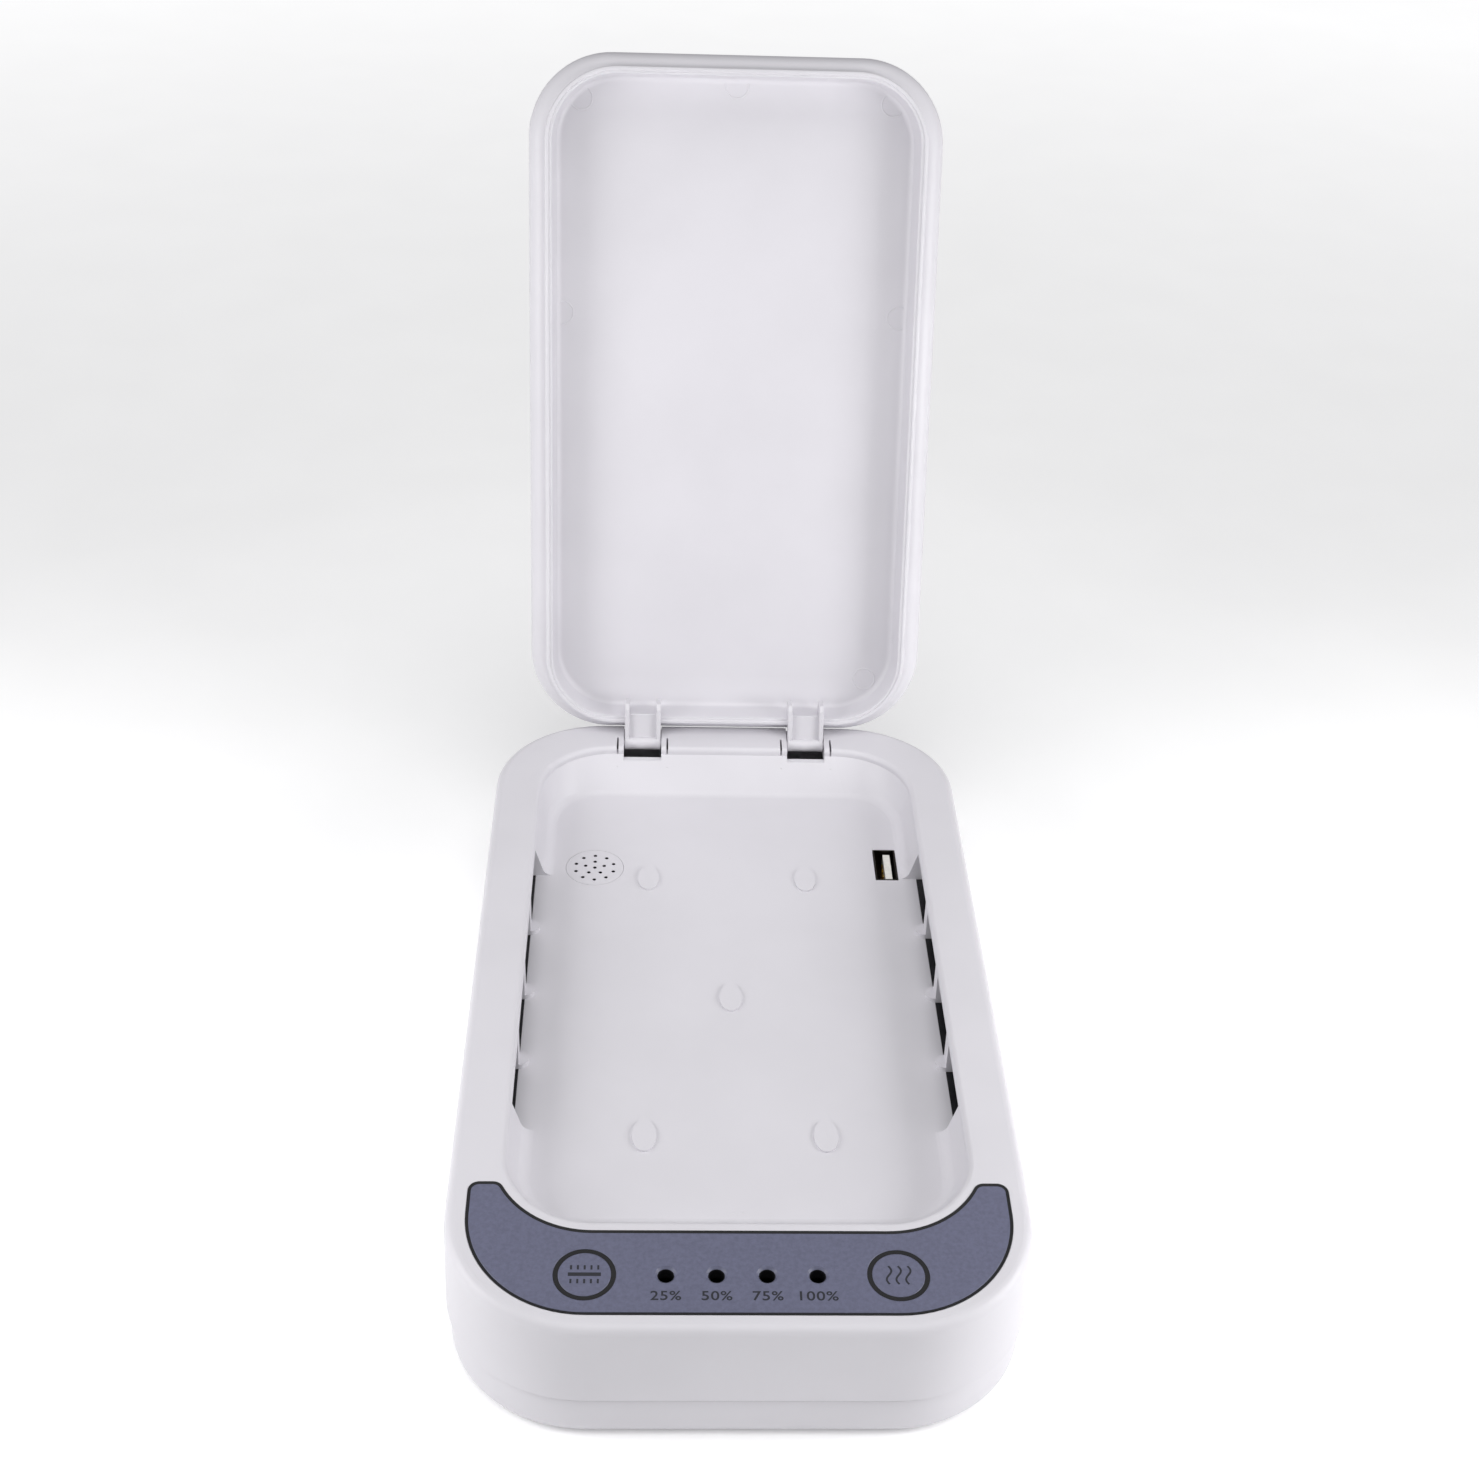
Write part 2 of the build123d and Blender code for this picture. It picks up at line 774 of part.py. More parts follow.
def switch_plunger(x):
    """The switch's own plunger, which the stem rests on."""
    low_z = button_stem_z - plunger_height - plunger_engagement
    return sloped(rod(x, control_y, low_z, button_stem_z, plunger_radius))


def tact_switches():
    """The two switch bodies on the control board, each with a well for its plunger."""
    switches = []
    for x in button_places:
        top_z = control_board_z + switch_height
        body = block(
            x - switch_size / 2,
            x + switch_size / 2,
            control_y - switch_size / 2,
            control_y + switch_size / 2,
            control_board_z,
            top_z,
        )
        well_radius = plunger_radius + fit_clearance
        well_z = top_z - plunger_engagement - button_travel - plunger_spare
        switches.append(sloped(body - rod(x, control_y, well_z, top_z, well_radius)))
    return switches


def status_leds():
    """The four round-topped indicators, set well below their holes."""
    leds = []
    for x in led_places:
        shoulder_z = deck_z - led_recess - led_radius
        led = rod(x, control_y, control_board_z, shoulder_z, led_radius)
        led += Pos(x, control_y, shoulder_z) * Sphere(led_radius)
        leds.append(sloped(led))
    return leds


def control_board():
    """The narrow board under the panel."""
    half = control_board_width / 2
    y0 = control_y - control_board_length / 2 + control_board_offset
    low_z = control_board_z - board_thickness
    board = block(-half, half, y0, y0 + control_board_length, low_z, control_board_z)
    for x in control_posts:
        board -= rod(x, control_y, low_z, control_board_z, board_hole_radius)
    return sloped(board)


# ---------------------------------------------------------------- boards in the base
def board_screw(x, y, head_z, side):
    """A small pan-head screw, seated at head_z. Side is 1 where it points down and -1 where up."""
    tip_z = head_z - side * board_screw_length
    top_z = head_z + side * board_head_height
    shank = rod(x, y, min(head_z, tip_z), max(head_z, tip_z), board_screw_radius)
    return shank + rod(x, y, min(head_z, top_z), max(head_z, top_z), board_head_radius)


def board_screws():
    """The screws of all three boards."""
    screws = [board_screw(x, y, board_top_z, 1) for x, y in main_posts + inverter_posts]
    for x in control_posts:
        screws.append(sloped(board_screw(x, control_y, control_board_z - board_thickness, -1)))
    return screws


def main_board():
    """The board with the controller, the charge socket and the power inlet."""
    ear_right = main_board_right + main_board_ear
    front = main_board_front
    board = block(main_board_left, main_board_right, front, main_board_rear, board_z, board_top_z)
    ear_rear = usb_y + main_board_ear_rear
    board += block(main_board_right, ear_right, front, ear_rear, board_z, board_top_z)
    for x, y in main_posts:
        board -= rod(x, y, board_z, board_top_z, board_hole_radius)
    return board


def inverter_board():
    """The board that drives the lamps."""
    board = block(inverter_left, inverter_right, inverter_front, inverter_rear, board_z, board_top_z)
    for x, y in inverter_posts:
        board -= rod(x, y, board_z, board_top_z, board_hole_radius)
    return board


def controller_chip():
    """The controller on the main board."""
    x = (main_board_left + main_board_right) / 2
    y = (main_board_front + main_board_rear) / 2
    half = chip_size / 2
    return block(x - half, x + half, y - half, y + half, board_top_z, board_top_z + chip_height)


def capacitor_pair(x, y):
    """Two upright capacitors, side by side."""
    top_z = board_top_z + capacitor_height
    offset = capacitor_spacing / 2
    return [rod(x, place, board_top_z, top_z, capacitor_radius) for place in (y - offset, y + offset)]


def board_capacitors():
    """The pair on the main board."""
    return capacitor_pair(main_board_left + capacitor_side_inset, main_board_rear - capacitor_rear_inset)


def inverter_capacitors():
    """The pair on the inverter board, beside the ribbon."""
    return capacitor_pair(inverter_right - 2 * capacitor_radius, inverter_middle()[1])


def inverter_middle():
    """The middle of the inverter board."""
    return (inverter_left + inverter_right) / 2, (inverter_front + inverter_rear) / 2


def transformer_winding():
    """The wound bobbin of the inverter's transformer."""
    x, y = inverter_middle()
    half_x = transformer_width / 2
    half_y = transformer_length / 2
    top_z = board_top_z + transformer_height
    bobbin = block(x - half_x, x + half_x, y - half_y, y + half_y, board_top_z, top_z)
    return bobbin - core_form(0)


def core_form(inset):
    """The straight ferrite bar through the transformer's bobbin."""
    x, y = inverter_middle()
    half_x = core_width / 2 - inset
    end = transformer_length / 2 + core_overhang
    middle_z = board_top_z + transformer_height / 2
    half_z = core_height / 2 - inset
    return block(x - half_x, x + half_x, y - end, y + end, middle_z - half_z, middle_z + half_z)


# ---------------------------------------------------------------- sockets
def usb_block(half_x, half_y, z0, z1):
    """An upright block about the socket's centre."""
    return block(usb_x - half_x, usb_x + half_x, usb_y - half_y, usb_y + half_y, z0, z1)


def usb_shell():
    """The upright metal shell, whose mouth is flush with the chamber floor."""
    half_x = usb_width / 2
    half_y = usb_length / 2
    outer = usb_block(half_x, half_y, board_top_z, floor_z)
    return outer - usb_block(half_x - usb_sheet, half_y - usb_sheet, board_top_z, floor_z)


def usb_tongue():
    """The insulator: a base that fills the shell's foot, and the tongue that carries the contacts."""
    tip_z = floor_z - usb_tongue_recess
    root_z = tip_z - usb_tongue_length
    base = usb_block(usb_width / 2 - usb_sheet, usb_length / 2 - usb_sheet, board_top_z, root_z)
    x0 = usb_x + usb_tongue_offset - usb_tongue_thickness / 2
    half_y = usb_tongue_width / 2
    return base + block(x0, x0 + usb_tongue_thickness, usb_y - half_y, usb_y + half_y, root_z, tip_z)


def usb_contacts():
    """The four flat contacts on the tongue."""
    face_x = usb_x + usb_tongue_offset - usb_tongue_thickness / 2
    root_z = floor_z - usb_tongue_recess - usb_tongue_length
    contacts = []
    for i in range(usb_contact_count):
        y = usb_y + (i - (usb_contact_count - 1) / 2) * usb_contact_pitch
        contacts.append(
            block(
                face_x - usb_contact_thickness,
                face_x,
                y - usb_contact_width / 2,
                y + usb_contact_width / 2,
                root_z,
                root_z + usb_contact_length,
            )
        )
    return contacts


def inlet_prism(grow, y0, length):
    """The power inlet's rounded outline, grown outward and pulled rearward from y0."""
    face = RectangleRounded(inlet_width + 2 * grow, inlet_height + 2 * grow, inlet_radius + grow)
    return extrude(Pos(0, y0, inlet_z) * Rot(90, 0, 0) * face, amount=length, dir=(0, 1, 0))


def inlet_shell():
    """The metal shell of the power inlet, on the main board's rear edge."""
    y0 = inlet_mouth_y - inlet_length
    return inlet_prism(0, y0, inlet_length) - inlet_prism(-inlet_sheet, y0, inlet_length)


def inlet_tongue():
    """The insulator inside the power inlet."""
    y0 = inlet_mouth_y - inlet_length
    root = inlet_prism(-inlet_sheet, y0, inlet_length - inlet_tongue_length - inlet_sheet)
    half_x = inlet_tongue_width / 2
    half_z = inlet_tongue_thickness / 2
    return root + block(-half_x, half_x, y0, y0 + inlet_tongue_length, inlet_z - half_z, inlet_z + half_z)


# ---------------------------------------------------------------- aroma outlet
def aroma_grille():
    """The perforated disc, flush with the chamber floor."""
    under_z = floor_z - aroma_disc_thickness
    disc = rod(aroma_x, aroma_y, under_z, floor_z, aroma_disc_radius)
    disc -= rod(aroma_x, aroma_y, under_z, floor_z, aroma_hole_radius)
    for count, ring in ((aroma_outer_count, aroma_outer_ring), (aroma_inner_count, aroma_inner_ring)):
        for i in range(count):
            angle = 2 * pi * i / count
            hole_x = aroma_x + ring * sin(angle)
            disc -= rod(hole_x, aroma_y + ring * cos(angle), under_z, floor_z, aroma_hole_radius)
    return disc


def aroma_cup():
    """The cup bonded under the chamber floor."""
    inner_radius = aroma_disc_radius - aroma_ledge
    low_z = floor_under_z - aroma_cup_depth
    cup = rod(aroma_x, aroma_y, low_z, floor_under_z, inner_radius + aroma_cup_wall)
    cup += rod(aroma_x, aroma_y, floor_under_z - aroma_cup_wall, floor_under_z, inner_radius + aroma_flange)
    return cup - rod(aroma_x, aroma_y, low_z + aroma_cup_floor, floor_under_z, inner_radius)


def aroma_heater():
    """The warming disc in the cup."""
    low_z = floor_under_z - aroma_cup_depth + aroma_cup_floor
    radius = aroma_disc_radius - aroma_ledge - pad_clearance
    return rod(aroma_x, aroma_y, low_z, low_z + heater_thickness, radius)


def aroma_pad():
    """The pad that takes the scent oil, between the heater and the disc."""
    low_z = floor_under_z - aroma_cup_depth + aroma_cup_floor + heater_thickness
    high_z = floor_z - aroma_disc_thickness
    return rod(aroma_x, aroma_y, low_z, high_z, aroma_disc_radius - aroma_ledge - pad_clearance)


# ---------------------------------------------------------------- lamps
def reflector(side):
    """A bent sheet channel under the deck, open to the windows, with a lip on the sill of each."""
    x0 = reflector_inner_x
    x1 = reflector_inner_x + reflector_width
    y0 = bay_centre_y - reflector_length / 2
    y1 = bay_centre_y + reflector_length / 2
    channel = block(x0, x1, y0, y1, reflector_z, deck_under_z)
    inner_top_z = deck_under_z - reflector_sheet
    channel -= block(x0 - reflector_sheet, x1 - reflector_sheet, y0, y1, floor_z, inner_top_z)
    lip_x = opening_half + reflector_lip_gap
    for start in window_places:
        y0 = start + reflector_lip_gap
        y1 = start + window_length - reflector_lip_gap
        channel += block(lip_x, x0 + reflector_sheet, y0, y1, reflector_z, floor_z)
    return channel if side > 0 else mirror(channel, Plane.YZ)


def lamp_glass_tube(side):
    """The glass tube of one lamp."""
    y0 = bay_centre_y - lamp_length / 2
    y1 = bay_centre_y + lamp_length / 2
    glass = rod_along_y(side * lamp_x, lamp_z, y0, y1, lamp_radius)
    return glass - rod_along_y(side * lamp_x, lamp_z, y0, y1, lamp_radius - lamp_glass)


def lamp_end_caps():
    """The metal cap on each end of the two lamps."""
    caps = []
    for side in (-1, 1):
        for end in (-1, 1):
            tip_y = bay_centre_y + end * (lamp_length / 2 + lamp_glass)
            root_y = tip_y - end * cap_length
            y0, y1 = sorted((tip_y, root_y))
            cap = rod_along_y(side * lamp_x, lamp_z, y0, y1, cap_radius)
            y0, y1 = sorted((tip_y - end * lamp_glass, root_y))
            caps.append(cap - rod_along_y(side * lamp_x, lamp_z, y0, y1, lamp_radius + fit_clearance))
    return caps


def lamp_holders():
    """The soft block that carries each lamp end inside its reflector."""
    holders = []
    for side in (-1, 1):
        outer_x = reflector_inner_x + reflector_width - reflector_sheet
        x0, x1 = sorted((side * reflector_inner_x, side * outer_x))
        for end in (-1, 1):
            outer_y = bay_centre_y + end * reflector_length / 2
            y0, y1 = sorted((outer_y, outer_y - end * holder_length))
            holder = block(x0, x1, y0, y1, floor_z, deck_under_z - reflector_sheet)
            tip_y = bay_centre_y + end * (lamp_length / 2 + lamp_glass)
            y0, y1 = sorted((tip_y, outer_y - end * 2 * holder_length))
            bore = rod_along_y(side * lamp_x, lamp_z, y0, y1, cap_radius + fit_clearance)
            holders.append(holder - bore)
    return holders


# ---------------------------------------------------------------- fasteners and cable
def case_screw_set():
    """The four screws that hold the two halves of the body together."""
    screws = []
    for x, y in case_screws:
        screw = rod(x, y, case_seat_z - case_head_height, case_seat_z, case_head_radius)
        screws.append(screw + rod(x, y, case_seat_z, case_seat_z + case_screw_length, case_screw_radius))
    return screws


def ribbon_front():
    """Where the ribbon leaves its front plug, under the control board."""
    y = control_y + control_board_offset + control_board_length / 2 - ribbon_plug_length
    return y, control_board_z - board_thickness - ribbon_plug_height


def ribbon_rear():
    """Where the ribbon leaves its rear plug, on the main board."""
    return main_board_front + ribbon_plug_length, board_top_z + ribbon_plug_height


def ribbon_plugs():
    """The two small plugs at the ribbon's ends."""
    half_x = ribbon_plug_width / 2
    half_y = ribbon_plug_length / 2
    front_y0, front_z = ribbon_front()
    rear_y0, rear_z = ribbon_rear()
    front_top_z = front_z + ribbon_plug_height
    front = sloped(block(-half_x, half_x, front_y0 - half_y, front_y0 + half_y, front_z, front_top_z))
    rear = block(-half_x, half_x, rear_y0 - half_y, rear_y0 + half_y, board_top_z, rear_z)
    return [front, rear]


def ribbon_cable():
    """The flat cable that runs under the chamber, from the control board to the main board."""
    flat_y, flat_z = ribbon_front()
    angle = radians(front_slope_angle)
    start_y = slope_y + (flat_y - slope_y) * cos(angle) + (deck_z - flat_z) * sin(angle)
    start_z = deck_z + (flat_y - slope_y) * sin(angle) - (deck_z - flat_z) * cos(angle)
    end_y, end_z = ribbon_rear()
    ribbon_z = (start_z + end_z) / 2
    drop = start_z - ribbon_z
    route = FilletPolyline(
        (0, start_y, start_z),
        (0, start_y + drop * tan(angle), ribbon_z),
        (0, end_y, ribbon_z),
        (0, end_y, end_z),
        radius=ribbon_bend,
    )
    start = Plane(origin=route @ 0, x_dir=(1, 0, 0), z_dir=route % 0)
    return sweep(start * Rectangle(ribbon_width, ribbon_thickness), path=route)


def write(node, shape):
    """Writes one sub-part, which is one solid or a list of them."""
    if isinstance(shape, list):
        shape = Compound(children=shape)
    export_step(shape, f"parts/{node}.step")


os.makedirs("parts", exist_ok=True)
write("upper_housing", upper_housing())
write("lower_shell", lower_shell())
write("rubber_feet", rubber_feet())
write("lid", lid())
write("control_panel", control_panel())
write("sterilize_button", button(button_places[0]))
write("aroma_button", button(button_places[1]))
write("sterilize_plunger", switch_plunger(button_places[0]))
write("aroma_plunger", switch_plunger(button_places[1]))
write("tact_switches", tact_switches())
write("status_leds", status_leds())
write("control_board", control_board())
write("main_board", main_board())
write("inverter_board", inverter_board())
write("controller_chip", controller_chip())
write("board_capacitors", board_capacitors())
write("inverter_capacitors", inverter_capacitors())
write("transformer_winding", transformer_winding())
write("transformer_core", core_form(0))
write("board_screws", board_screws())
write("usb_shell", usb_shell())
write("usb_tongue", usb_tongue())
write("usb_contacts", usb_contacts())
write("power_inlet_shell", inlet_shell())
write("power_inlet_tongue", inlet_tongue())
write("aroma_grille", aroma_grille())
write("aroma_cup", aroma_cup())
write("aroma_heater", aroma_heater())
write("aroma_pad", aroma_pad())
write("reflector_left", reflector(-1))
write("reflector_right", reflector(1))
write("uv_lamp_left", lamp_glass_tube(-1))
write("uv_lamp_right", lamp_glass_tube(1))
write("lamp_end_caps", lamp_end_caps())
write("lamp_holders", lamp_holders())
write("case_screws", case_screw_set())
write("ribbon_cable", ribbon_cable())
write("ribbon_plugs", ribbon_plugs())
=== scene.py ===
import json
from math import cos, pi, radians, sin

import bmesh
import bpy
import numpy as np
from mathutils import Matrix, Vector


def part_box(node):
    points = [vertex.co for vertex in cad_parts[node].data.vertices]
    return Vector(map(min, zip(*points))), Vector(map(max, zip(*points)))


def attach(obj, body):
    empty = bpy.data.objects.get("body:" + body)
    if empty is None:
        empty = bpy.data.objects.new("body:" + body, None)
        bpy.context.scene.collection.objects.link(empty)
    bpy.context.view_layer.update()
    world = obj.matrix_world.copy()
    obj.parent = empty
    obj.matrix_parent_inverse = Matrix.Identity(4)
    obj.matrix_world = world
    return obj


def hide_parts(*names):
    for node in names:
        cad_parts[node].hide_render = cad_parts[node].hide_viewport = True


bl_info = {
    "name": "UV sanitizer box",
    "version": (1, 0, 0),
    "blender": (4, 5, 0),
    "location": "View3D > Sidebar > Sanitizer",
    "description": "Dresses the sanitizer box for phones and sets up its studio",
    "category": "Object",
}

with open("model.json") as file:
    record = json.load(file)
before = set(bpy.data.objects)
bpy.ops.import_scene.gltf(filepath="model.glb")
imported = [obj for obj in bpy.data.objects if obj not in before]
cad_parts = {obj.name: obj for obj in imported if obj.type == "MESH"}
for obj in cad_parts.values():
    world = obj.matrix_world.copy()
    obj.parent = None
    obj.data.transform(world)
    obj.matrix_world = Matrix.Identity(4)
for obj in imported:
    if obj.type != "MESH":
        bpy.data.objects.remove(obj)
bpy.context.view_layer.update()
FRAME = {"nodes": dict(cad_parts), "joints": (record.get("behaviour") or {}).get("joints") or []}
NODES = FRAME["nodes"]
MM = 0.001

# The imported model's own places, which the new pieces are worked out from.
HOUSING_LOW, HOUSING_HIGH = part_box("upper_housing")
HINGE = next(j for j in FRAME["joints"] if j["name"] == "lid_hinge")
HINGE_POINT = np.array(HINGE["pos_m"])
OPEN_ANGLE = radians(-HINGE["range_deg"][0])
PRESS = next(j for j in FRAME["joints"] if j["name"] == "sterilize_button_press")
PANEL_UP = -np.array(PRESS["axis"])
PANEL_BACK = np.array([0, PANEL_UP[2], -PANEL_UP[1]])
BUTTONS = ("sterilize_button", "aroma_button")


# ---------------------------------------------------------------- sizes and colours that a user may change
def linear(hex_colour):
    """An sRGB hex colour as linear RGBA."""
    channels = [int(hex_colour[i : i + 2], 16) / 255 for i in (1, 3, 5)]
    return tuple(c / 12.92 if c <= 0.04045 else ((c + 0.055) / 1.055) ** 2.4 for c in channels) + (1.0,)


def length(name, millimetres, description):
    """A length property, given in millimetres."""
    return bpy.props.FloatProperty(
        name=name, description=description, default=millimetres * MM,
        subtype="DISTANCE", unit="LENGTH", precision=5,
    )


def colour(name, hex_colour, description):
    """A colour property, given as sRGB hex."""
    return bpy.props.FloatVectorProperty(
        name=name, description=description, default=linear(hex_colour), subtype="COLOR", size=4, min=0, max=1
    )


class SanitizerLidSizes(bpy.types.PropertyGroup):
    """The lid's own sizes."""

    plug_half: length("Crest half width", 50.1, "Half the width of the crest that enters the chamber")
    plug_length: length("Crest length", 176.8, "Length of the crest that enters the chamber")
    plug_radius: length("Crest corner", 19.0, "Corner radius of the crest")
    plug_height: length("Crest height", 1.8, "Upright part of the crest")
    height: length("Lid height", 13.0, "From the crest to the outer face")
    roof: length("Roof", 2.0, "Thickness of the lid's flat middle")
    side_flare: length("Side flare", 4.4, "How far the flank stands out beside the crest")
    front_flare: length("Front flare", 3.3, "How far the flank stands out in front of the crest")
    rear_flare: length("Rear flare", 2.2, "How far the flank stands out behind the crest")
    outer_radius: length("Outer corner", 22.0, "Corner radius of the widest outline")
    under_radius: length("Flank radius", 4.3, "Round from the crest to the widest outline")
    top_radius: length("Edge radius", 5.4, "Round from the widest outline to the outer face")
    bead: length("Bead", 1.2, "Width of the bead round the crest")
    bead_height: length("Bead height", 0.4, "How far the bead stands above the land inside it")
    wall: length("Wall", 1.85, "Bead and land together")
    wall_depth: length("Inner wall depth", 10.2, "Depth of the upright inner wall")
    wall_lean: length("Inner wall lean", 0.7, "How far the inner wall leans in")
    dish_margin: length("Dish margin", 9.0, "Width of the soft margin round the flat middle")
    mark_radius: length("Ejector mark", 3.0, "Radius of the ejector marks in the lid")
    arm_width: length("Arm width", 10.05, "Width of a hinge arm")
    arm_rib: length("Arm rib", 1.25, "Thickness of an arm's two ribs")
    arm_reach: length("Arm reach", 5.8, "How far an arm's root stands in front of the crest's rear edge")
    arm_depth: length("Arm depth", 1.0, "Underside of the ribs below the hinge")
    arm_recess: length("Arm recess", 1.2, "How far the web lies behind the ribs")
    arm_tip: length("Arm tip", 1.75, "Radius of the arm's round tip")
    arm_spacing: length("Arm spacing", 45.9, "Distance between the two arms")


class SanitizerPanelSizes(bpy.types.PropertyGroup):
    """The sizes of what is on the control panel."""

    button_radius: length("Button radius", 5.625, "Radius of a button's cap")
    ring_radius: length("Ring radius", 6.375, "Outer radius of the gap round a button")
    ring_recess: length("Ring recess", 0.07, "Depth of the seal in that gap")
    hole_radius: length("Hole radius", 1.75, "Radius of an indicator hole")
    hole_pitch: length("Hole pitch", 10.45, "Distance between two indicator holes")
    numeral_height: length("Numeral height", 2.35, "Height of the charge levels' digits")
    numeral_row: length("Numeral row", 5.3, "Distance from the holes to the digits")


class SanitizerColours(bpy.types.PropertyGroup):
    """The colours of the finishes."""

    white: colour("White ABS", "#d6d4d9", "Moulded white of the casings")
    panel: colour("Panel grey", "#62647a", "Moulded blue-grey of the control panel")
    ink: colour("Ink", "#24252c", "Printed marks on the panel")


class SanitizerStudio(bpy.types.PropertyGroup):
    """The camera and the lights."""

    camera_x: length("Camera X", -18.832, "Camera place, to the right of the box's middle")
    camera_y: length("Camera Y", -399.396, "Camera place, behind the box's middle")
    camera_z: length("Camera Z", 368.119, "Camera height over the table")
    camera_yaw: bpy.props.FloatProperty(
        name="Yaw", description="Turn to the right of +Y", default=0.0463, subtype="ANGLE", unit="ROTATION"
    )
    camera_pitch: bpy.props.FloatProperty(
        name="Pitch", description="Look down from level", default=0.58537, subtype="ANGLE", unit="ROTATION"
    )
    camera_roll: bpy.props.FloatProperty(
        name="Roll", description="Turn about the view", default=0.03832, subtype="ANGLE", unit="ROTATION"
    )
    camera_lens: bpy.props.FloatProperty(
        name="Lens", description="Focal length on a 36 mm sensor", default=51.825, subtype="DISTANCE_CAMERA"
    )
    ceiling_strength: bpy.props.FloatProperty(
        name="Ceiling light", description="Strength of the even light from the ceiling", default=1.17, min=0
    )
    left_power: bpy.props.FloatProperty(
        name="Left light", description="Power of the soft light at the left", default=0.71,
        subtype="POWER", unit="POWER",
    )
    right_power: bpy.props.FloatProperty(
        name="Right light", description="Power of the soft light at the right", default=0.85,
        subtype="POWER", unit="POWER",
    )
    sky: bpy.props.FloatProperty(name="Surround", description="Brightness of the room", default=0.25, min=0)


# ---------------------------------------------------------------- shapes worked out on grids
def corner(centre_x, centre_y, radius, start, count=20):
    """A quarter circle from the start angle, anticlockwise."""
    angle = start + np.linspace(0, pi / 2, count)
    return np.stack([centre_x + radius * np.cos(angle), centre_y + radius * np.sin(angle)], axis=1)


def between(start, end, count):
    """Points strictly between two points, evenly spaced."""
    share = np.linspace(0, 1, count + 2)[1:-1, None]
    return np.asarray(start) * (1 - share) + np.asarray(end) * share


def rounded_ring(half, front, rear, radius, height, side_count=40, end_count=20):
    """A closed rounded rectangle at one height, anticlockwise from its front right corner."""
    x, low, high = half - radius, front + radius, rear - radius
    arcs = [
        corner(x, low, radius, -pi / 2),
        corner(x, high, radius, 0),
        corner(-x, high, radius, pi / 2),
        corner(-x, low, radius, pi),
    ]
    counts = (side_count, end_count, side_count, end_count)
    runs = []
    for i, arc in enumerate(arcs):
        runs += [arc, between(arc[-1], arcs[(i + 1) % 4][0], counts[i])]
    flat = np.concatenate(runs)
    return np.column_stack([flat, np.full(len(flat), height)])


def grid_faces(rows, columns, closed_columns=True, closed_rows=False):
    """Quads over a grid of points, row by row."""
    last_row = rows if closed_rows else rows - 1
    last_column = columns if closed_columns else columns - 1
    row, column = np.meshgrid(np.arange(last_row), np.arange(last_column), indexing="ij")
    next_row, next_column = (row + 1) % rows, (column + 1) % columns
    quads = [row * columns + column, row * columns + next_column]
    quads += [next_row * columns + next_column, next_row * columns + column]
    return np.stack(quads, axis=-1).reshape(-1, 4)


def new_piece(name, points, faces, caps=(), smooth_angle=40):
    """A mesh object from points, faces and any large end faces, shaded smooth below an angle."""
    mesh = bpy.data.meshes.new(name)
    mesh.from_pydata(points.tolist(), [], [*faces.tolist(), *caps])
    mesh.validate()
    mesh.update()
    mesh.shade_smooth()
    mesh.set_sharp_from_angle(angle=radians(smooth_angle))
    piece = bpy.data.objects.new(name, mesh)
    bpy.context.scene.collection.objects.link(piece)
    return piece


def skin(name, rings, material, body, smooth_angle=40):
    """A closed skin over rings of equal count, with its first and last ring filled."""
    rows, columns = len(rings), len(rings[0])
    points = np.concatenate(rings)
    first = list(range(columns))[::-1]
    last = list(range((rows - 1) * columns, rows * columns))
    piece = new_piece(name, points, grid_faces(rows, columns), [first, last], smooth_angle)
    piece.data.materials.append(material)
    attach(piece, body)
    return piece


def merged(parts):
    """Several meshes' points and faces as one."""
    points, faces = [], []
    start = 0
    for part_points, part_faces in parts:
        points.append(part_points)
        faces += [[start + point for point in face] for face in part_faces]
        start += len(part_points)
    return np.concatenate(points), faces


def bar(outline, x0, x1):
    """A closed bar across the box: an outline of Y and Z places, pulled from x0 to x1."""
    outline = np.asarray(outline)
    count = len(outline)
    ends = [np.column_stack([np.full(count, x), outline]) for x in (x0, x1)]
    faces = grid_faces(2, count).tolist()
    return np.concatenate(ends), [*faces, list(range(count))[::-1], list(range(count, 2 * count))]


def round_bar(centre_y, centre_z, radius, x0, x1, count=40):
    """A closed round bar across the box."""
    angle = np.linspace(0, 2 * pi, count, endpoint=False)
    return bar(np.column_stack([centre_y + radius * np.cos(angle), centre_z + radius * np.sin(angle)]), x0, x1)


def turned_ring(profile, place, count=96):
    """A closed ring: an outline of radius and height, turned about a place's own axis. place maps points."""
    profile = np.asarray(profile)
    angle = np.linspace(0, 2 * pi, count, endpoint=False)[:, None]
    across = profile[:, 0] * np.cos(angle)
    along = profile[:, 0] * np.sin(angle)
    height = np.broadcast_to(profile[:, 1], across.shape)
    points = place(across.ravel(), along.ravel(), height.ravel())
    return points, grid_faces(count, len(profile), closed_rows=True).tolist()


def finished_piece(name, parts, material, body, smooth_angle=40, bevel=0.0):
    """One object of several closed meshes, with its faces outward and its edges softly rounded."""
    points, faces = merged(parts)
    piece = new_piece(name, points, np.empty((0, 4), int), faces, smooth_angle)
    shape = bmesh.new()
    shape.from_mesh(piece.data)
    bmesh.ops.recalc_face_normals(shape, faces=shape.faces)
    shape.to_mesh(piece.data)
    shape.free()
    piece.data.materials.append(material)
    if bevel:
        rounding = piece.modifiers.new("soft_edges", "BEVEL")
        rounding.width = bevel
        rounding.segments = 3
        rounding.limit_method = "ANGLE"
    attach(piece, body)
    return piece


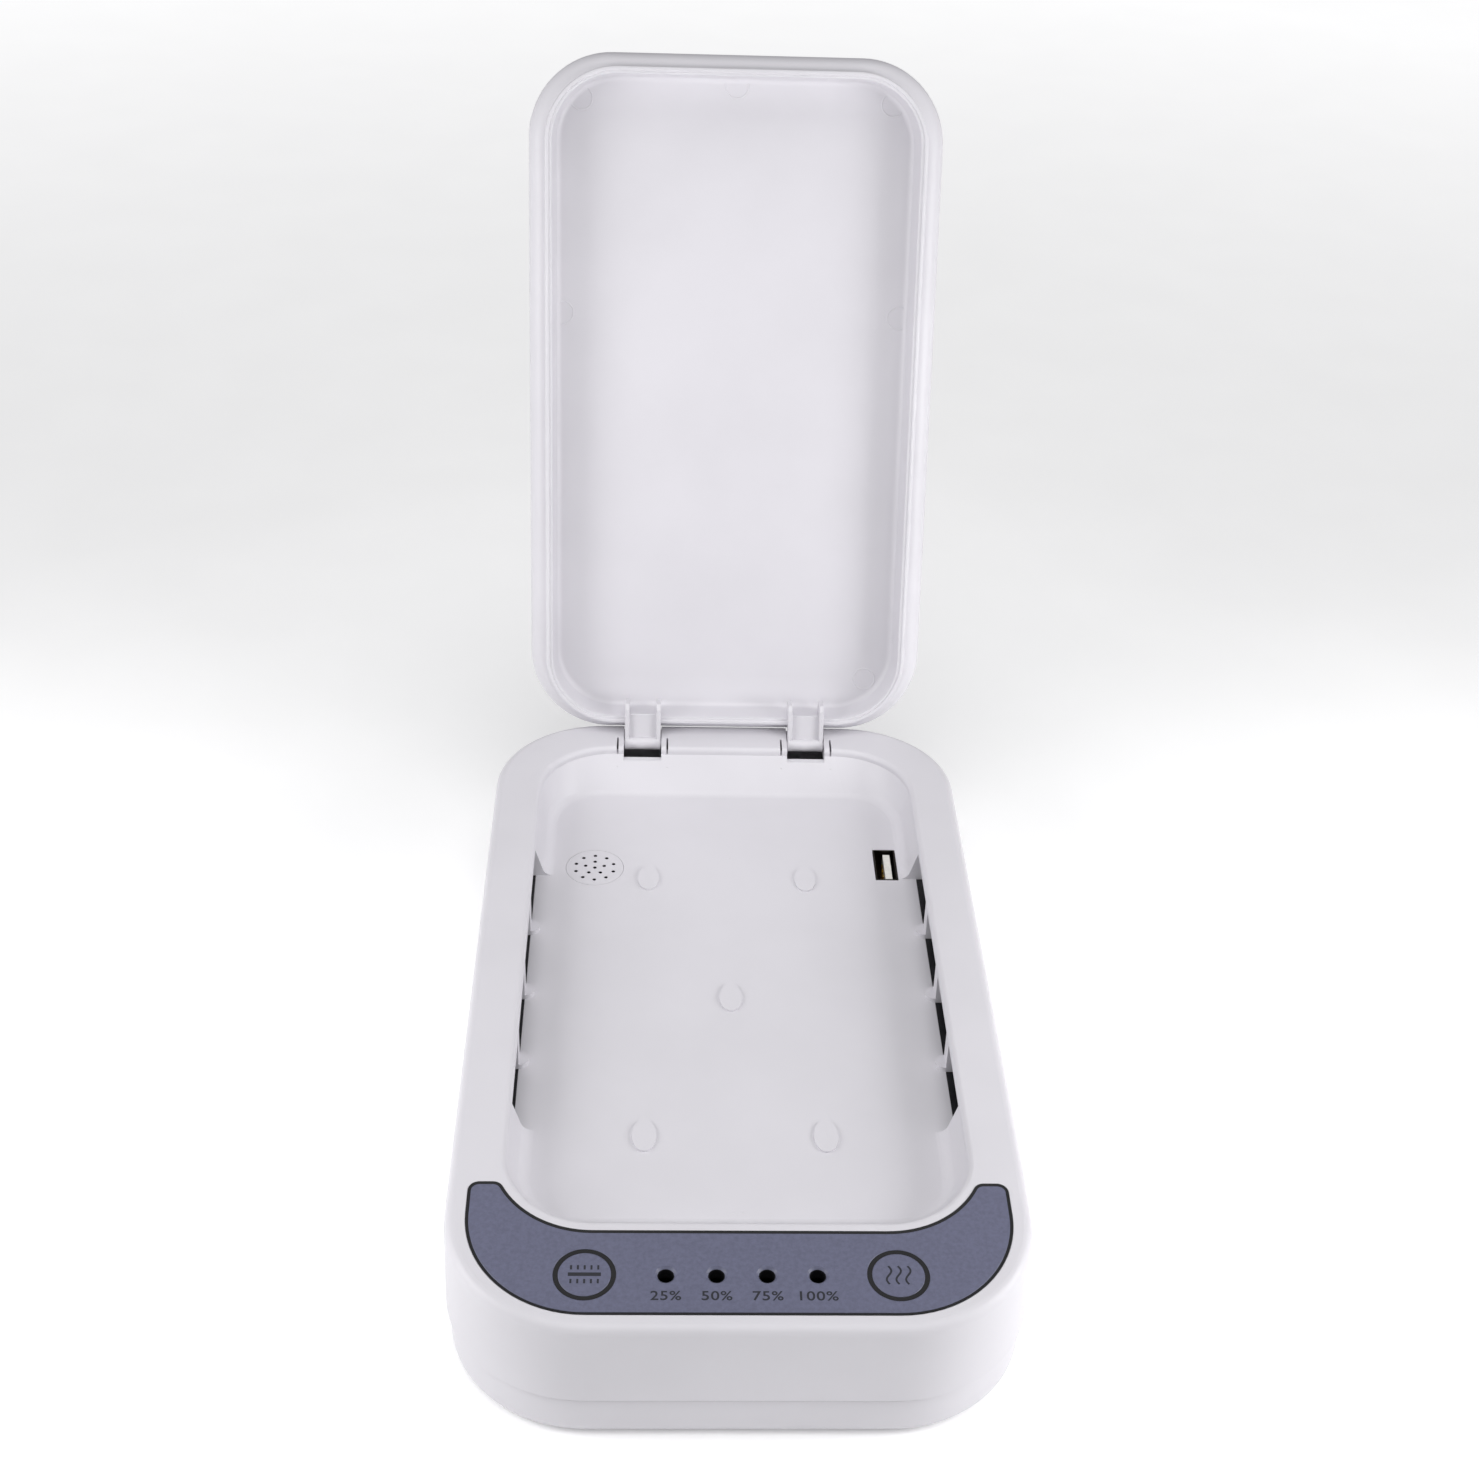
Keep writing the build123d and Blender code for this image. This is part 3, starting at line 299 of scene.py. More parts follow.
def flat_outline(node, up, level):
    """The longest outline of a CAD node's flat face at a height along up, as a ring of points in order."""
    shape = bmesh.new()
    shape.from_mesh(NODES[node].data)
    bmesh.ops.remove_doubles(shape, verts=shape.verts, dist=0.001 * MM)
    near = {vert for vert in shape.verts if abs(vert.co @ Vector(up) - level) < 0.01 * MM}
    flat = {face for face in shape.faces if near.issuperset(face.verts)}
    links = {}
    for edge in shape.edges:
        if sum(face in flat for face in edge.link_faces) == 1:
            for vert in edge.verts:
                links.setdefault(vert, []).append(edge.other_vert(vert))
    rings = []
    while links:
        vert = next(iter(links))
        ring = []
        while vert is not None:
            ring.append(list(vert.co))
            vert = next((other for other in links.pop(vert) if other in links), None)
        rings.append(np.array(ring))
    shape.free()
    return max(rings, key=lambda ring: np.linalg.norm(np.roll(ring, -1, axis=0) - ring, axis=1).sum())


def band_round(ring, up, profile):
    """A closed band along a ring of points: each profile place is a distance outward and a height along up."""
    up = np.asarray(up)
    run = np.roll(ring, -1, axis=0) - np.roll(ring, 1, axis=0)
    outward = np.cross(run, up)
    outward /= np.linalg.norm(outward, axis=1)[:, None]
    if np.sum(outward * (ring - ring.mean(axis=0))) < 0:
        outward = -outward
    rows = [ring + outward * out + up * height for out, height in profile]
    points = np.stack(rows, axis=1).reshape(-1, 3)
    return points, grid_faces(len(ring), len(profile), closed_rows=True).tolist()


def swung_open(points):
    """Points of the closed lid, swung up about the hinge to the open pose."""
    turn = np.array(Matrix.Rotation(-OPEN_ANGLE, 3, "X"))
    return (points - HINGE_POINT) @ turn.T + HINGE_POINT


# ---------------------------------------------------------------- materials
def add_node(tree, kind, inputs=(), **settings):
    """Adds a node with its settings. Each input is a socket's name or number and a value or another output."""
    node = tree.nodes.new(kind)
    for key, value in settings.items():
        setattr(node, key, value)
    for socket, value in inputs:
        if isinstance(value, bpy.types.NodeSocket):
            tree.links.new(value, node.inputs[socket])
        else:
            node.inputs[socket].default_value = value
    return node


def new_material(name, inputs):
    """A material with one Principled shader, whose uniform values are set on its own sockets."""
    material = bpy.data.materials.new(name)
    material.use_nodes = True
    tree = material.node_tree
    tree.nodes.clear()
    shader = add_node(tree, "ShaderNodeBsdfPrincipled", inputs)
    add_node(tree, "ShaderNodeOutputMaterial", [("Surface", shader.outputs["BSDF"])])
    return material, tree, shader


def object_noise(tree, size_mm, detail=2.0, roughness=0.5):
    """Noise on object coordinates whose features are about size_mm across."""
    place = add_node(tree, "ShaderNodeTexCoord")
    inputs = [("Vector", place.outputs["Object"]), ("Scale", 1 / (size_mm * MM)), ("Detail", detail)]
    return add_node(tree, "ShaderNodeTexNoise", [*inputs, ("Roughness", roughness)])


def mottle(tree, shader, noise, dark, light, low=0.35, high=0.65):
    """Colours the surface between two close shades by a noise."""
    ramp = add_node(tree, "ShaderNodeValToRGB", [("Fac", noise.outputs["Fac"])])
    ramp.color_ramp.elements[0].position = low
    ramp.color_ramp.elements[0].color = dark
    ramp.color_ramp.elements[1].position = high
    ramp.color_ramp.elements[1].color = light
    tree.links.new(ramp.outputs["Color"], shader.inputs["Base Color"])


def rough_by(tree, shader, noise, low, high):
    """Varies the roughness between two values by a noise."""
    inputs = [("Value", noise.outputs["Fac"]), ("To Min", low), ("To Max", high)]
    spread = add_node(tree, "ShaderNodeMapRange", inputs)
    tree.links.new(spread.outputs["Result"], shader.inputs["Roughness"])


def grain(tree, shader, noise, depth_mm, strength=1.0):
    """Raises the surface by a noise, to a depth in millimetres."""
    inputs = [("Height", noise.outputs["Fac"]), ("Distance", depth_mm * MM), ("Strength", strength)]
    bump = add_node(tree, "ShaderNodeBump", inputs)
    tree.links.new(bump.outputs["Normal"], shader.inputs["Normal"])


def shade(rgba, factor):
    """A colour made darker or lighter."""
    return tuple(min(1.0, c * factor) for c in rgba[:3]) + (1.0,)


def white_moulded_abs():
    """White ABS from a satin spark-eroded mould: soft broad highlights, a very fine grain and slow flow shading."""
    base = bpy.context.scene.sanitizer_colours.white
    material, tree, shader = new_material("white_moulded_abs", [("IOR", 1.53), ("Specular IOR Level", 0.45)])
    mottle(tree, shader, object_noise(tree, 34, 3), shade(base, 0.975), shade(base, 1.015))
    rough_by(tree, shader, object_noise(tree, 9, 2), 0.40, 0.50)
    grain(tree, shader, object_noise(tree, 0.7, 3, 0.6), 0.012, 0.6)
    return material


def grey_textured_abs():
    """Blue-grey ABS with a fine leather-like mould texture, which scatters the light in small specks."""
    base = bpy.context.scene.sanitizer_colours.panel
    material, tree, shader = new_material("grey_textured_abs", [("IOR", 1.53), ("Specular IOR Level", 0.5)])
    speck = object_noise(tree, 0.9, 4, 0.65)
    mottle(tree, shader, speck, shade(base, 0.90), shade(base, 1.10))
    rough_by(tree, shader, object_noise(tree, 6, 2), 0.44, 0.56)
    grain(tree, shader, speck, 0.03, 0.7)
    return material


def plain_finish(name, hex_colour, roughness, size_mm, depth_mm=0.01, metallic=0.0, spread=0.06, **extra):
    """A finish with one colour, whose shade, gloss and surface vary by a noise of a real size."""
    base = linear(hex_colour)
    inputs = [("Metallic", metallic), *((key.replace("_", " "), value) for key, value in extra.items())]
    material, tree, shader = new_material(name, inputs)
    noise = object_noise(tree, size_mm, 3)
    mottle(tree, shader, noise, shade(base, 1 - spread), shade(base, 1 + spread))
    rough_by(tree, shader, noise, roughness * 0.85, roughness * 1.15)
    grain(tree, shader, noise, depth_mm, 0.5)
    return material


def quartz_glass():
    """Clear drawn quartz tube with a faint cool tint."""
    material, tree, shader = new_material(
        "quartz_glass", [("Transmission Weight", 0.85), ("IOR", 1.46), ("Base Color", linear("#c9d2de"))]
    )
    rough_by(tree, shader, object_noise(tree, 5), 0.04, 0.10)
    return material


def printed_ink():
    """Dark grey pad-printed ink: a thin, slightly uneven, dry film."""
    base = bpy.context.scene.sanitizer_colours.ink
    material, tree, shader = new_material("printed_ink", [("IOR", 1.5)])
    noise = object_noise(tree, 0.25, 2)
    mottle(tree, shader, noise, shade(base, 0.8), shade(base, 1.25))
    rough_by(tree, shader, noise, 0.5, 0.7)
    return material


def studio_paper():
    """White seamless paper: dead matt, with a faint fibre, and a painted glow, no lamp, that grows with the
    distance from the object.
    """
    material, tree, shader = new_material("studio_paper", [("Roughness", 0.9), ("Specular IOR Level", 0.1)])
    mottle(tree, shader, object_noise(tree, 40, 3), linear("#fafafa"), linear("#fcfcfc"))
    shader.inputs["Emission Color"].default_value = linear("#ffffff")
    place = add_node(tree, "ShaderNodeTexCoord")
    reach = add_node(tree, "ShaderNodeVectorMath", [(0, place.outputs["Object"])], operation="LENGTH")
    # Painted light: the sheet glows more the farther it lies from the object, so the backdrop reads whiter.
    near, near_glow = 0.35, 0.12
    far, far_glow = 1.1, 0.42
    inputs = [("Value", reach.outputs["Value"]), ("From Min", near), ("From Max", far)]
    inputs += [("To Min", near_glow), ("To Max", far_glow)]
    glow = add_node(tree, "ShaderNodeMapRange", inputs)
    tree.links.new(glow.outputs["Result"], shader.inputs["Emission Strength"])
    return material


def finish_nodes(material, *names):
    """Puts one material on CAD nodes."""
    for name in names:
        slots = NODES[name].data.materials
        slots.clear()
        slots.append(material)


# ---------------------------------------------------------------- lid
def lid_plug():
    """The crest's outline in the closed pose: half width, front and rear."""
    sizes = bpy.context.scene.sanitizer_lid
    rear = HINGE_POINT[1] - 5.7 * MM
    return sizes.plug_half, rear - sizes.plug_length, rear


def lid_crest_height():
    """The height of the crest in the closed pose."""
    return HOUSING_HIGH.z - 1.5 * MM


def lid_dish_depth(inset):
    """How deep the lid's inside is at a distance in from the crest's outline.

    Past the wall the depth runs from the wall's foot to the flat middle as 3u^2 - 2u^3, where u is the share of
    the margin: a low soft cove.
    """
    sizes = bpy.context.scene.sanitizer_lid
    start = sizes.wall + sizes.wall_lean
    share = np.clip((inset - start) / sizes.dish_margin, 0, 1)
    full = sizes.height - sizes.roof
    return sizes.wall_depth + (full - sizes.wall_depth) * share**2 * (3 - 2 * share)


def lid_rings():
    """The lid's skin in the closed pose, from the flat inside, over the crest and the flank, to the outer face."""
    sizes = bpy.context.scene.sanitizer_lid
    half, front, rear = lid_plug()
    crest = lid_crest_height()

    def inner(inset, depth):
        return rounded_ring(half - inset, front + inset, rear - inset, sizes.plug_radius - inset, crest + depth)

    start = sizes.wall + sizes.wall_lean
    foot = 1.4 * MM
    insets = start + foot + (sizes.dish_margin - foot) * np.linspace(1, 0, 26)
    rings = [inner(inset, lid_dish_depth(inset)) for inset in insets]
    for turn in np.linspace(0, pi / 2, 6)[1:]:
        rings.append(inner(start + foot * (1 - sin(turn)), sizes.wall_depth - foot * (1 - cos(turn))))
    slope = sizes.wall_lean / (sizes.wall_depth - foot)
    climb = (2.0, 4.0, 6.0, 8.0)
    rings += [inner(start - slope * rise * MM, sizes.wall_depth - foot - rise * MM) for rise in climb]
    edge = 0.25 * MM
    land = sizes.bead_height
    rings += [inner(sizes.wall, land + edge), inner(sizes.wall - edge * 0.3, land + edge * 0.3)]
    rings += [inner(sizes.wall - edge, land), inner(sizes.bead + edge, land), inner(sizes.bead, land)]
    rings += [inner(sizes.bead - edge * 0.3, edge), inner(sizes.bead - edge, edge * 0.2)]
    rings += [inner(sizes.bead / 2, 0), inner(edge, edge * 0.2), inner(edge * 0.2, edge), inner(0, edge * 2)]

    flares = np.array([sizes.side_flare, sizes.front_flare, sizes.rear_flare])

    def outer(out, share, depth):
        side, ahead, behind = out
        radius = sizes.plug_radius + (sizes.outer_radius - sizes.plug_radius) * share
        return rounded_ring(half + side, front - ahead, rear + behind, radius, crest + depth)

    rings.append(outer((0, 0, 0), 0, sizes.plug_height - edge))
    for turn in np.linspace(0, pi / 2, 14):
        out = np.maximum(flares - sizes.under_radius * (1 - sin(turn)), 0)
        rings.append(outer(out, sin(turn), sizes.plug_height + sizes.under_radius * (1 - cos(turn))))
    for turn in np.linspace(0, pi / 2, 14):
        out = flares - sizes.top_radius * (1 - cos(turn))
        radius_share = 1 - sizes.top_radius * (1 - cos(turn)) / (sizes.outer_radius - sizes.plug_radius)
        depth = sizes.height - sizes.top_radius * (1 - sin(turn))
        rings.append(outer(out, radius_share, depth))
    return [swung_open(ring) for ring in rings]


class SanitizerLidShell(bpy.types.Operator):
    """Builds the lid's skin: flat inside, low soft cove, beaded crest, pebble-round flank and outer face."""

    bl_idname = "sanitizer.lid_shell"
    bl_label = "Lid shell"

    def execute(self, context):
        shell = skin("lid_shell", lid_rings(), bpy.data.materials["white_moulded_abs"], "lid")
        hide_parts("lid")
        return {"FINISHED"}


def arm_parts(x):
    """One hinge arm in the closed pose: two ribs, the web between them, the round tip and its trunnions."""
    sizes = bpy.context.scene.sanitizer_lid
    rear = lid_plug()[2]
    crest = lid_crest_height()
    hinge_y, hinge_z = HINGE_POINT[1], HINGE_POINT[2]
    root = rear - sizes.arm_reach
    inner = rear - sizes.wall / 2
    low = hinge_z - sizes.arm_depth
    high = hinge_z + sizes.arm_tip
    roof = crest + sizes.height - sizes.roof
    knee = crest - low
    rib = [(inner, roof - sizes.arm_reach / 2), (root, roof - sizes.arm_reach), (root, crest), (root + knee, low)]
    rib += [(hinge_y, low), (hinge_y, high), (inner, high)]
    web = [(inner - sizes.wall, low + sizes.arm_recess), (hinge_y, low + sizes.arm_recess), (hinge_y, high)]
    web += [(inner - sizes.wall, high)]
    half = sizes.arm_width / 2
    parts = [bar(rib, start, start + sizes.arm_rib) for start in (x - half, x + half - sizes.arm_rib)]
    parts.append(bar(web, x - half + sizes.arm_rib / 2, x + half - sizes.arm_rib / 2))
    parts.append(round_bar(hinge_y, hinge_z, sizes.arm_tip, x - half, x + half))
    parts.append(round_bar(hinge_y, hinge_z, 1.2 * MM, x - half - 1.3 * MM, x + half + 1.3 * MM))
    return [(swung_open(points), faces) for points, faces in parts]


class SanitizerLidArms(bpy.types.Operator):
    """Builds the lid's two hinge arms, with softly rounded ribs."""

    bl_idname = "sanitizer.lid_arms"
    bl_label = "Lid arms"

    def execute(self, context):
        offset = context.scene.sanitizer_lid.arm_spacing / 2
        parts = arm_parts(-offset) + arm_parts(offset)
        finish = bpy.data.materials["white_moulded_abs"]
        piece = finished_piece("lid_hinge_arms", parts, finish, "lid", 30, 0.2 * MM)
        return {"FINISHED"}


def plug_inset(x, y):
    """How far in a point lies from the crest's outline: minus the distance to a rounded rectangle."""
    half, front, rear = lid_plug()
    radius = bpy.context.scene.sanitizer_lid.plug_radius
    over_x = np.abs(x) - half + radius
    over_y = np.abs(y - (front + rear) / 2) - (rear - front) / 2 + radius
    outside = np.hypot(np.maximum(over_x, 0), np.maximum(over_y, 0))
    return radius - outside - np.minimum(np.maximum(over_x, over_y), 0)


class SanitizerLidMarks(bpy.types.Operator):
    """Builds the faint round ejector marks in the lid's inside, which follow its surface."""

    bl_idname = "sanitizer.lid_marks"
    bl_label = "Lid marks"

    def execute(self, context):
        sizes = context.scene.sanitizer_lid
        rear = lid_plug()[2]
        crest = lid_crest_height()
        places = ((-41, 168.5), (0, 172.3), (41.3, 168.6), (-46.0, 112.8), (45.2, 113.0), (40.0, 11.0))
        bead = 0.2 * MM
        angle = np.linspace(0, 2 * pi, 10, endpoint=False)
        profile = np.column_stack([sizes.mark_radius + bead * np.cos(angle), bead * np.sin(angle)])
        parts = []
        for mark_x, mark_y in places:

            def on_dish(across, along, height, x=mark_x * MM, y=rear - mark_y * MM):
                spot_x, spot_y = x + across, y + along
                depth = lid_dish_depth(plug_inset(spot_x, spot_y))
                return swung_open(np.column_stack([spot_x, spot_y, crest + depth - height * 0.6]))

            parts.append(turned_ring(profile, on_dish))
        finished_piece("lid_ejector_marks", parts, bpy.data.materials["white_moulded_abs"], "lid")
        return {"FINISHED"}


# ---------------------------------------------------------------- control panel
def top_middle(name):
    """The middle of a node's face that lies furthest out of the panel."""
    mesh = NODES[name].data
    points = np.empty(len(mesh.vertices) * 3)
    mesh.vertices.foreach_get("co", points)
    points = points.reshape(-1, 3)
    height = points @ PANEL_UP
    top = points[height > height.max() - 0.01 * MM]
    return (top.min(axis=0) + top.max(axis=0)) / 2


def on_panel(middle):
    """A function that lays points on the sloped panel about a middle: across, toward the rear and outward."""

    def place(across, along, height):
        across, along, height = np.broadcast_arrays(across, along, height)
        return middle + np.outer(across, (1, 0, 0)) + np.outer(along, PANEL_BACK) + np.outer(height, PANEL_UP)

    return place


def control_row():
    """The middle of the row of buttons and holes."""
    return (top_middle(BUTTONS[0]) + top_middle(BUTTONS[1])) / 2


def hole_places():
    """How far each indicator hole stands from the middle of the row."""
    return (np.arange(4) - 1.5) * bpy.context.scene.sanitizer_panel.hole_pitch


class SanitizerButtonGapRings(bpy.types.Operator):
    """Builds a dark ring in the gap round each button, with a lip that spreads towards both edges."""

    bl_idname = "sanitizer.button_seals"
    bl_label = "Button gap rings"

    def execute(self, context):
        sizes = context.scene.sanitizer_panel
        top = -sizes.ring_recess
        inner = sizes.button_radius + 0.03 * MM
        outer = sizes.ring_radius - 0.03 * MM
        edge = 0.16 * MM
        profile = [(inner, top - MM), (outer, top - MM), (outer, top - edge), (outer + edge, top)]
        profile += [(inner - edge, top), (inner, top - edge)]
        parts = [turned_ring(profile, on_panel(top_middle(name))) for name in BUTTONS]
        finished_piece("button_seals", parts, bpy.data.materials["black_gap_fill"], "base", 20)
        return {"FINISHED"}


class SanitizerHoleShadeSleeves(bpy.types.Operator):
    """Builds a black sleeve in each indicator hole: painted shade that makes the hole's inside read dark."""

    bl_idname = "sanitizer.hole_sleeves"
    bl_label = "Hole shade sleeves"

    def execute(self, context):
        outer = context.scene.sanitizer_panel.hole_radius - 0.01 * MM
        inner = outer - 0.1 * MM
        top, bottom = -0.55 * MM, -3.1 * MM
        profile = [(inner, bottom), (outer, bottom), (outer, top), (inner, top)]
        middle = control_row()
        parts = []
        for offset in hole_places():
            parts.append(turned_ring(profile, on_panel(middle + np.array([offset, 0, 0])), 48))
        finished_piece("hole_sleeves", parts, bpy.data.materials["black_nylon_and_hole_shade"], "base", 30)
        return {"FINISHED"}


def level_numeral(text, width, height, place):
    """A charge level as a thin flat mesh, fitted to a width and a height."""
    curve = bpy.data.curves.new("level_text", "FONT")
    curve.body = text
    curve.resolution_u = 5
    curve.extrude = 0.02
    curve.offset = 0.012
    curve.space_character = 1.08
    holder = bpy.data.objects.new("level_text", curve)
    bpy.context.scene.collection.objects.link(holder)
    view = bpy.context.evaluated_depsgraph_get()
    mesh = bpy.data.meshes.new_from_object(holder.evaluated_get(view))
    points = np.empty(len(mesh.vertices) * 3)
    mesh.vertices.foreach_get("co", points)
    points = points.reshape(-1, 3)
    faces = [list(face.vertices) for face in mesh.polygons]
    bpy.data.objects.remove(holder)
    bpy.data.curves.remove(curve)
    bpy.data.meshes.remove(mesh)
    low, high = points.min(axis=0), points.max(axis=0)
    share = (points - (low + high) / 2) / (high - low)
    return place(share[:, 0] * width, share[:, 1] * height, (share[:, 2] + 0.5) * 0.02 * MM), faces


class SanitizerNumerals(bpy.types.Operator):
    """Prints the charge levels in front of the indicator holes."""

    bl_idname = "sanitizer.numerals"
    bl_label = "Charge levels"

    def execute(self, context):
        sizes = context.scene.sanitizer_panel
        middle = control_row() - PANEL_BACK * sizes.numeral_row
        parts = []
        for offset, text, width in zip(hole_places(), ("25%", "50%", "75%", "100%"), (6.3, 6.3, 6.3, 7.9)):
            place = on_panel(middle + np.array([offset, 0, 0]))
            parts.append(level_numeral(text, width * MM, sizes.numeral_height, place))
        finished_piece("charge_level_numerals", parts, bpy.data.materials["printed_ink"], "base")
        return {"FINISHED"}


def flat_stroke(path, width, place):
    """A thin printed stroke of even width along a flat path."""
    path = np.asarray(path)
    run = np.gradient(path, axis=0)
    side = np.column_stack([-run[:, 1], run[:, 0]]) / np.linalg.norm(run, axis=1)[:, None] * width / 2
    thickness = 0.02 * MM
    corners = [(path + side, 0), (path - side, 0), (path - side, thickness), (path + side, thickness)]
    rows = [place(edge[:, 0], edge[:, 1], height) for edge, height in corners]
    points = np.stack(rows, axis=1).reshape(-1, 3)
    count = len(path)
    faces = grid_faces(count, 4).tolist()
    return points, [*faces, [0, 3, 2, 1], [4 * count - 4, 4 * count - 3, 4 * count - 2, 4 * count - 1]]


class SanitizerButtonMarks(bpy.types.Operator):
    """Prints a plain sign on each button: a glowing tube for the lamps and three rising waves for the scent."""

    bl_idname = "sanitizer.button_marks"
    bl_label = "Button marks"

    def execute(self, context):
        ink = bpy.data.materials["printed_ink"]
        place = on_panel(top_middle(BUTTONS[0]))
        width = 0.42 * MM
        parts = [flat_stroke([(-3.4 * MM, 0), (0, 0), (3.4 * MM, 0)], 0.9 * MM, place)]
        for x in np.linspace(-2.8, 2.8, 5) * MM:
            for side in (-1, 1):
                ray = [(x, side * 1.2 * MM), (x, side * 1.7 * MM), (x, side * 2.3 * MM)]
                parts.append(flat_stroke(ray, width, place))
        finished_piece("lamp_sign", parts, ink, BUTTONS[0])
        place = on_panel(top_middle(BUTTONS[1]))
        rise = np.linspace(-2.3, 2.3, 33) * MM
        parts = []
        for x in (-2.0 * MM, 0, 2.0 * MM):
            wave = np.column_stack([x + 0.55 * MM * np.sin(rise / MM * pi / 2.3), rise])
            parts.append(flat_stroke(wave, width, place))
        finished_piece("scent_sign", parts, ink, BUTTONS[1])
        return {"FINISHED"}


class SanitizerPanelGapShade(bpy.types.Operator):
    """Builds a dark band in the groove round the control panel and over its outer edge: painted shade for the dark
    gap.
    """

    bl_idname = "sanitizer.panel_seal"
    bl_label = "Panel gap shade"

    def execute(self, context):
        level = float(top_middle("control_panel") @ PANEL_UP)
        ring = flat_outline("control_panel", PANEL_UP, level)
        profile = [(0.33, -0.9), (0.52, -0.9), (0.53, -0.2), (0.76, 0.05)]
        profile += [(0.70, 0.04), (0.10, -0.06), (0.09, -0.10)]
        part = band_round(ring, PANEL_UP, np.array(profile) * MM)
        finished_piece("panel_seal", [part], bpy.data.materials["black_gap_fill"], "base", 30)
        return {"FINISHED"}


class SanitizerSeamShade(bpy.types.Operator):
    """Builds a thin dark band between the two casings, in the step under the upper one: painted shade for the
    shadow under the upper casing's overhang.
    """

    bl_idname = "sanitizer.seam_seal"
    bl_label = "Seam shade"

    def execute(self, context):
        up = (0, 0, 1)
        ring = flat_outline("lower_shell", up, HOUSING_LOW.z)
        profile = np.array([(-0.1, -0.80), (0.06, -0.76), (0.30, -0.04), (-0.1, 0.0)]) * MM
        part = band_round(ring, up, profile)
        finished_piece("seam_seal", [part], bpy.data.materials["black_gap_fill"], "base", 30)
        return {"FINISHED"}


class SanitizerScentShadeSleeves(bpy.types.Operator):
    """Builds dark sleeves in the scent disc's holes, painted shade that makes each hole read dark: one in the
    middle, then rings of five and ten.
    """

    bl_idname = "sanitizer.scent_sleeves"
    bl_label = "Scent shade sleeves"

    def execute(self, context):
        low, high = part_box("aroma_grille")
        middle = np.array([(low.x + high.x) / 2, (low.y + high.y) / 2, high.z])
        profile = np.array([(0.40, -1.15), (0.49, -1.15), (0.49, -0.10), (0.44, -0.10)]) * MM
        parts = []
        for count, ring in ((1, 0), (5, 2.6 * MM), (10, 5.2 * MM)):
            for angle in np.linspace(0, 2 * pi, count, endpoint=False):
                spot = middle + np.array([ring * sin(angle), ring * cos(angle), 0])

                def place(across, along, height, spot=spot):
                    return spot + np.column_stack([across, along, height])

                parts.append(turned_ring(profile, place, 20))
        finished_piece("scent_hole_sleeves", parts, bpy.data.materials["black_nylon_and_hole_shade"], "base", 30)
        return {"FINISHED"}


class SanitizerHingeWebs(bpy.types.Operator):
    """Builds the thin webs that close the hinge cheeks' slits below the chamber's rim, flush with the wall."""

    bl_idname = "sanitizer.hinge_webs"
    bl_label = "Hinge webs"

    def execute(self, context):
        sizes = context.scene.sanitizer_lid
        rim_y = lid_plug()[2] + 0.3 * MM
        rim_z = HOUSING_HIGH.z - 2.0 * MM
        drop = 2.55 * MM
        outline = [(rim_y - drop, rim_z - drop), (rim_y, rim_z), (rim_y + 2.6 * MM, rim_z)]
        outline += [(rim_y + 2.6 * MM, rim_z - drop)]
        parts = []
        for x in (-sizes.arm_spacing / 2, sizes.arm_spacing / 2):
            for side in (-6.95 * MM, 6.95 * MM):
                parts.append(bar(outline, x + side - 0.249 * MM, x + side + 0.249 * MM))
        finished_piece("hinge_slit_webs", parts, bpy.data.materials["white_moulded_abs"], "base", 30)
        return {"FINISHED"}


class SanitizerGateMarks(bpy.types.Operator):
    """Builds the two tiny pairs of moulding marks on the chamber floor."""

    bl_idname = "sanitizer.gate_marks"
    bl_label = "Gate marks"

    def execute(self, context):
        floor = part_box("aroma_grille")[1].z
        profile = [(0.32 * MM, -0.05 * MM), (0.3 * MM, 0.05 * MM), (0.2 * MM, 0.08 * MM), (0.05 * MM, 0.02 * MM)]
        parts = []
        for x, y in ((-1.0, 59.1), (1.0, 59.1), (-1.0, -69.7), (1.0, -69.7)):
            middle = np.array([x * MM, y * MM, floor])

            def place(across, along, height, middle=middle):
                return middle + np.column_stack([across, along, height])

            parts.append(turned_ring(profile, place, 24))
        finished_piece("chamber_gate_marks", parts, bpy.data.materials["white_moulded_abs"], "base")
        return {"FINISHED"}


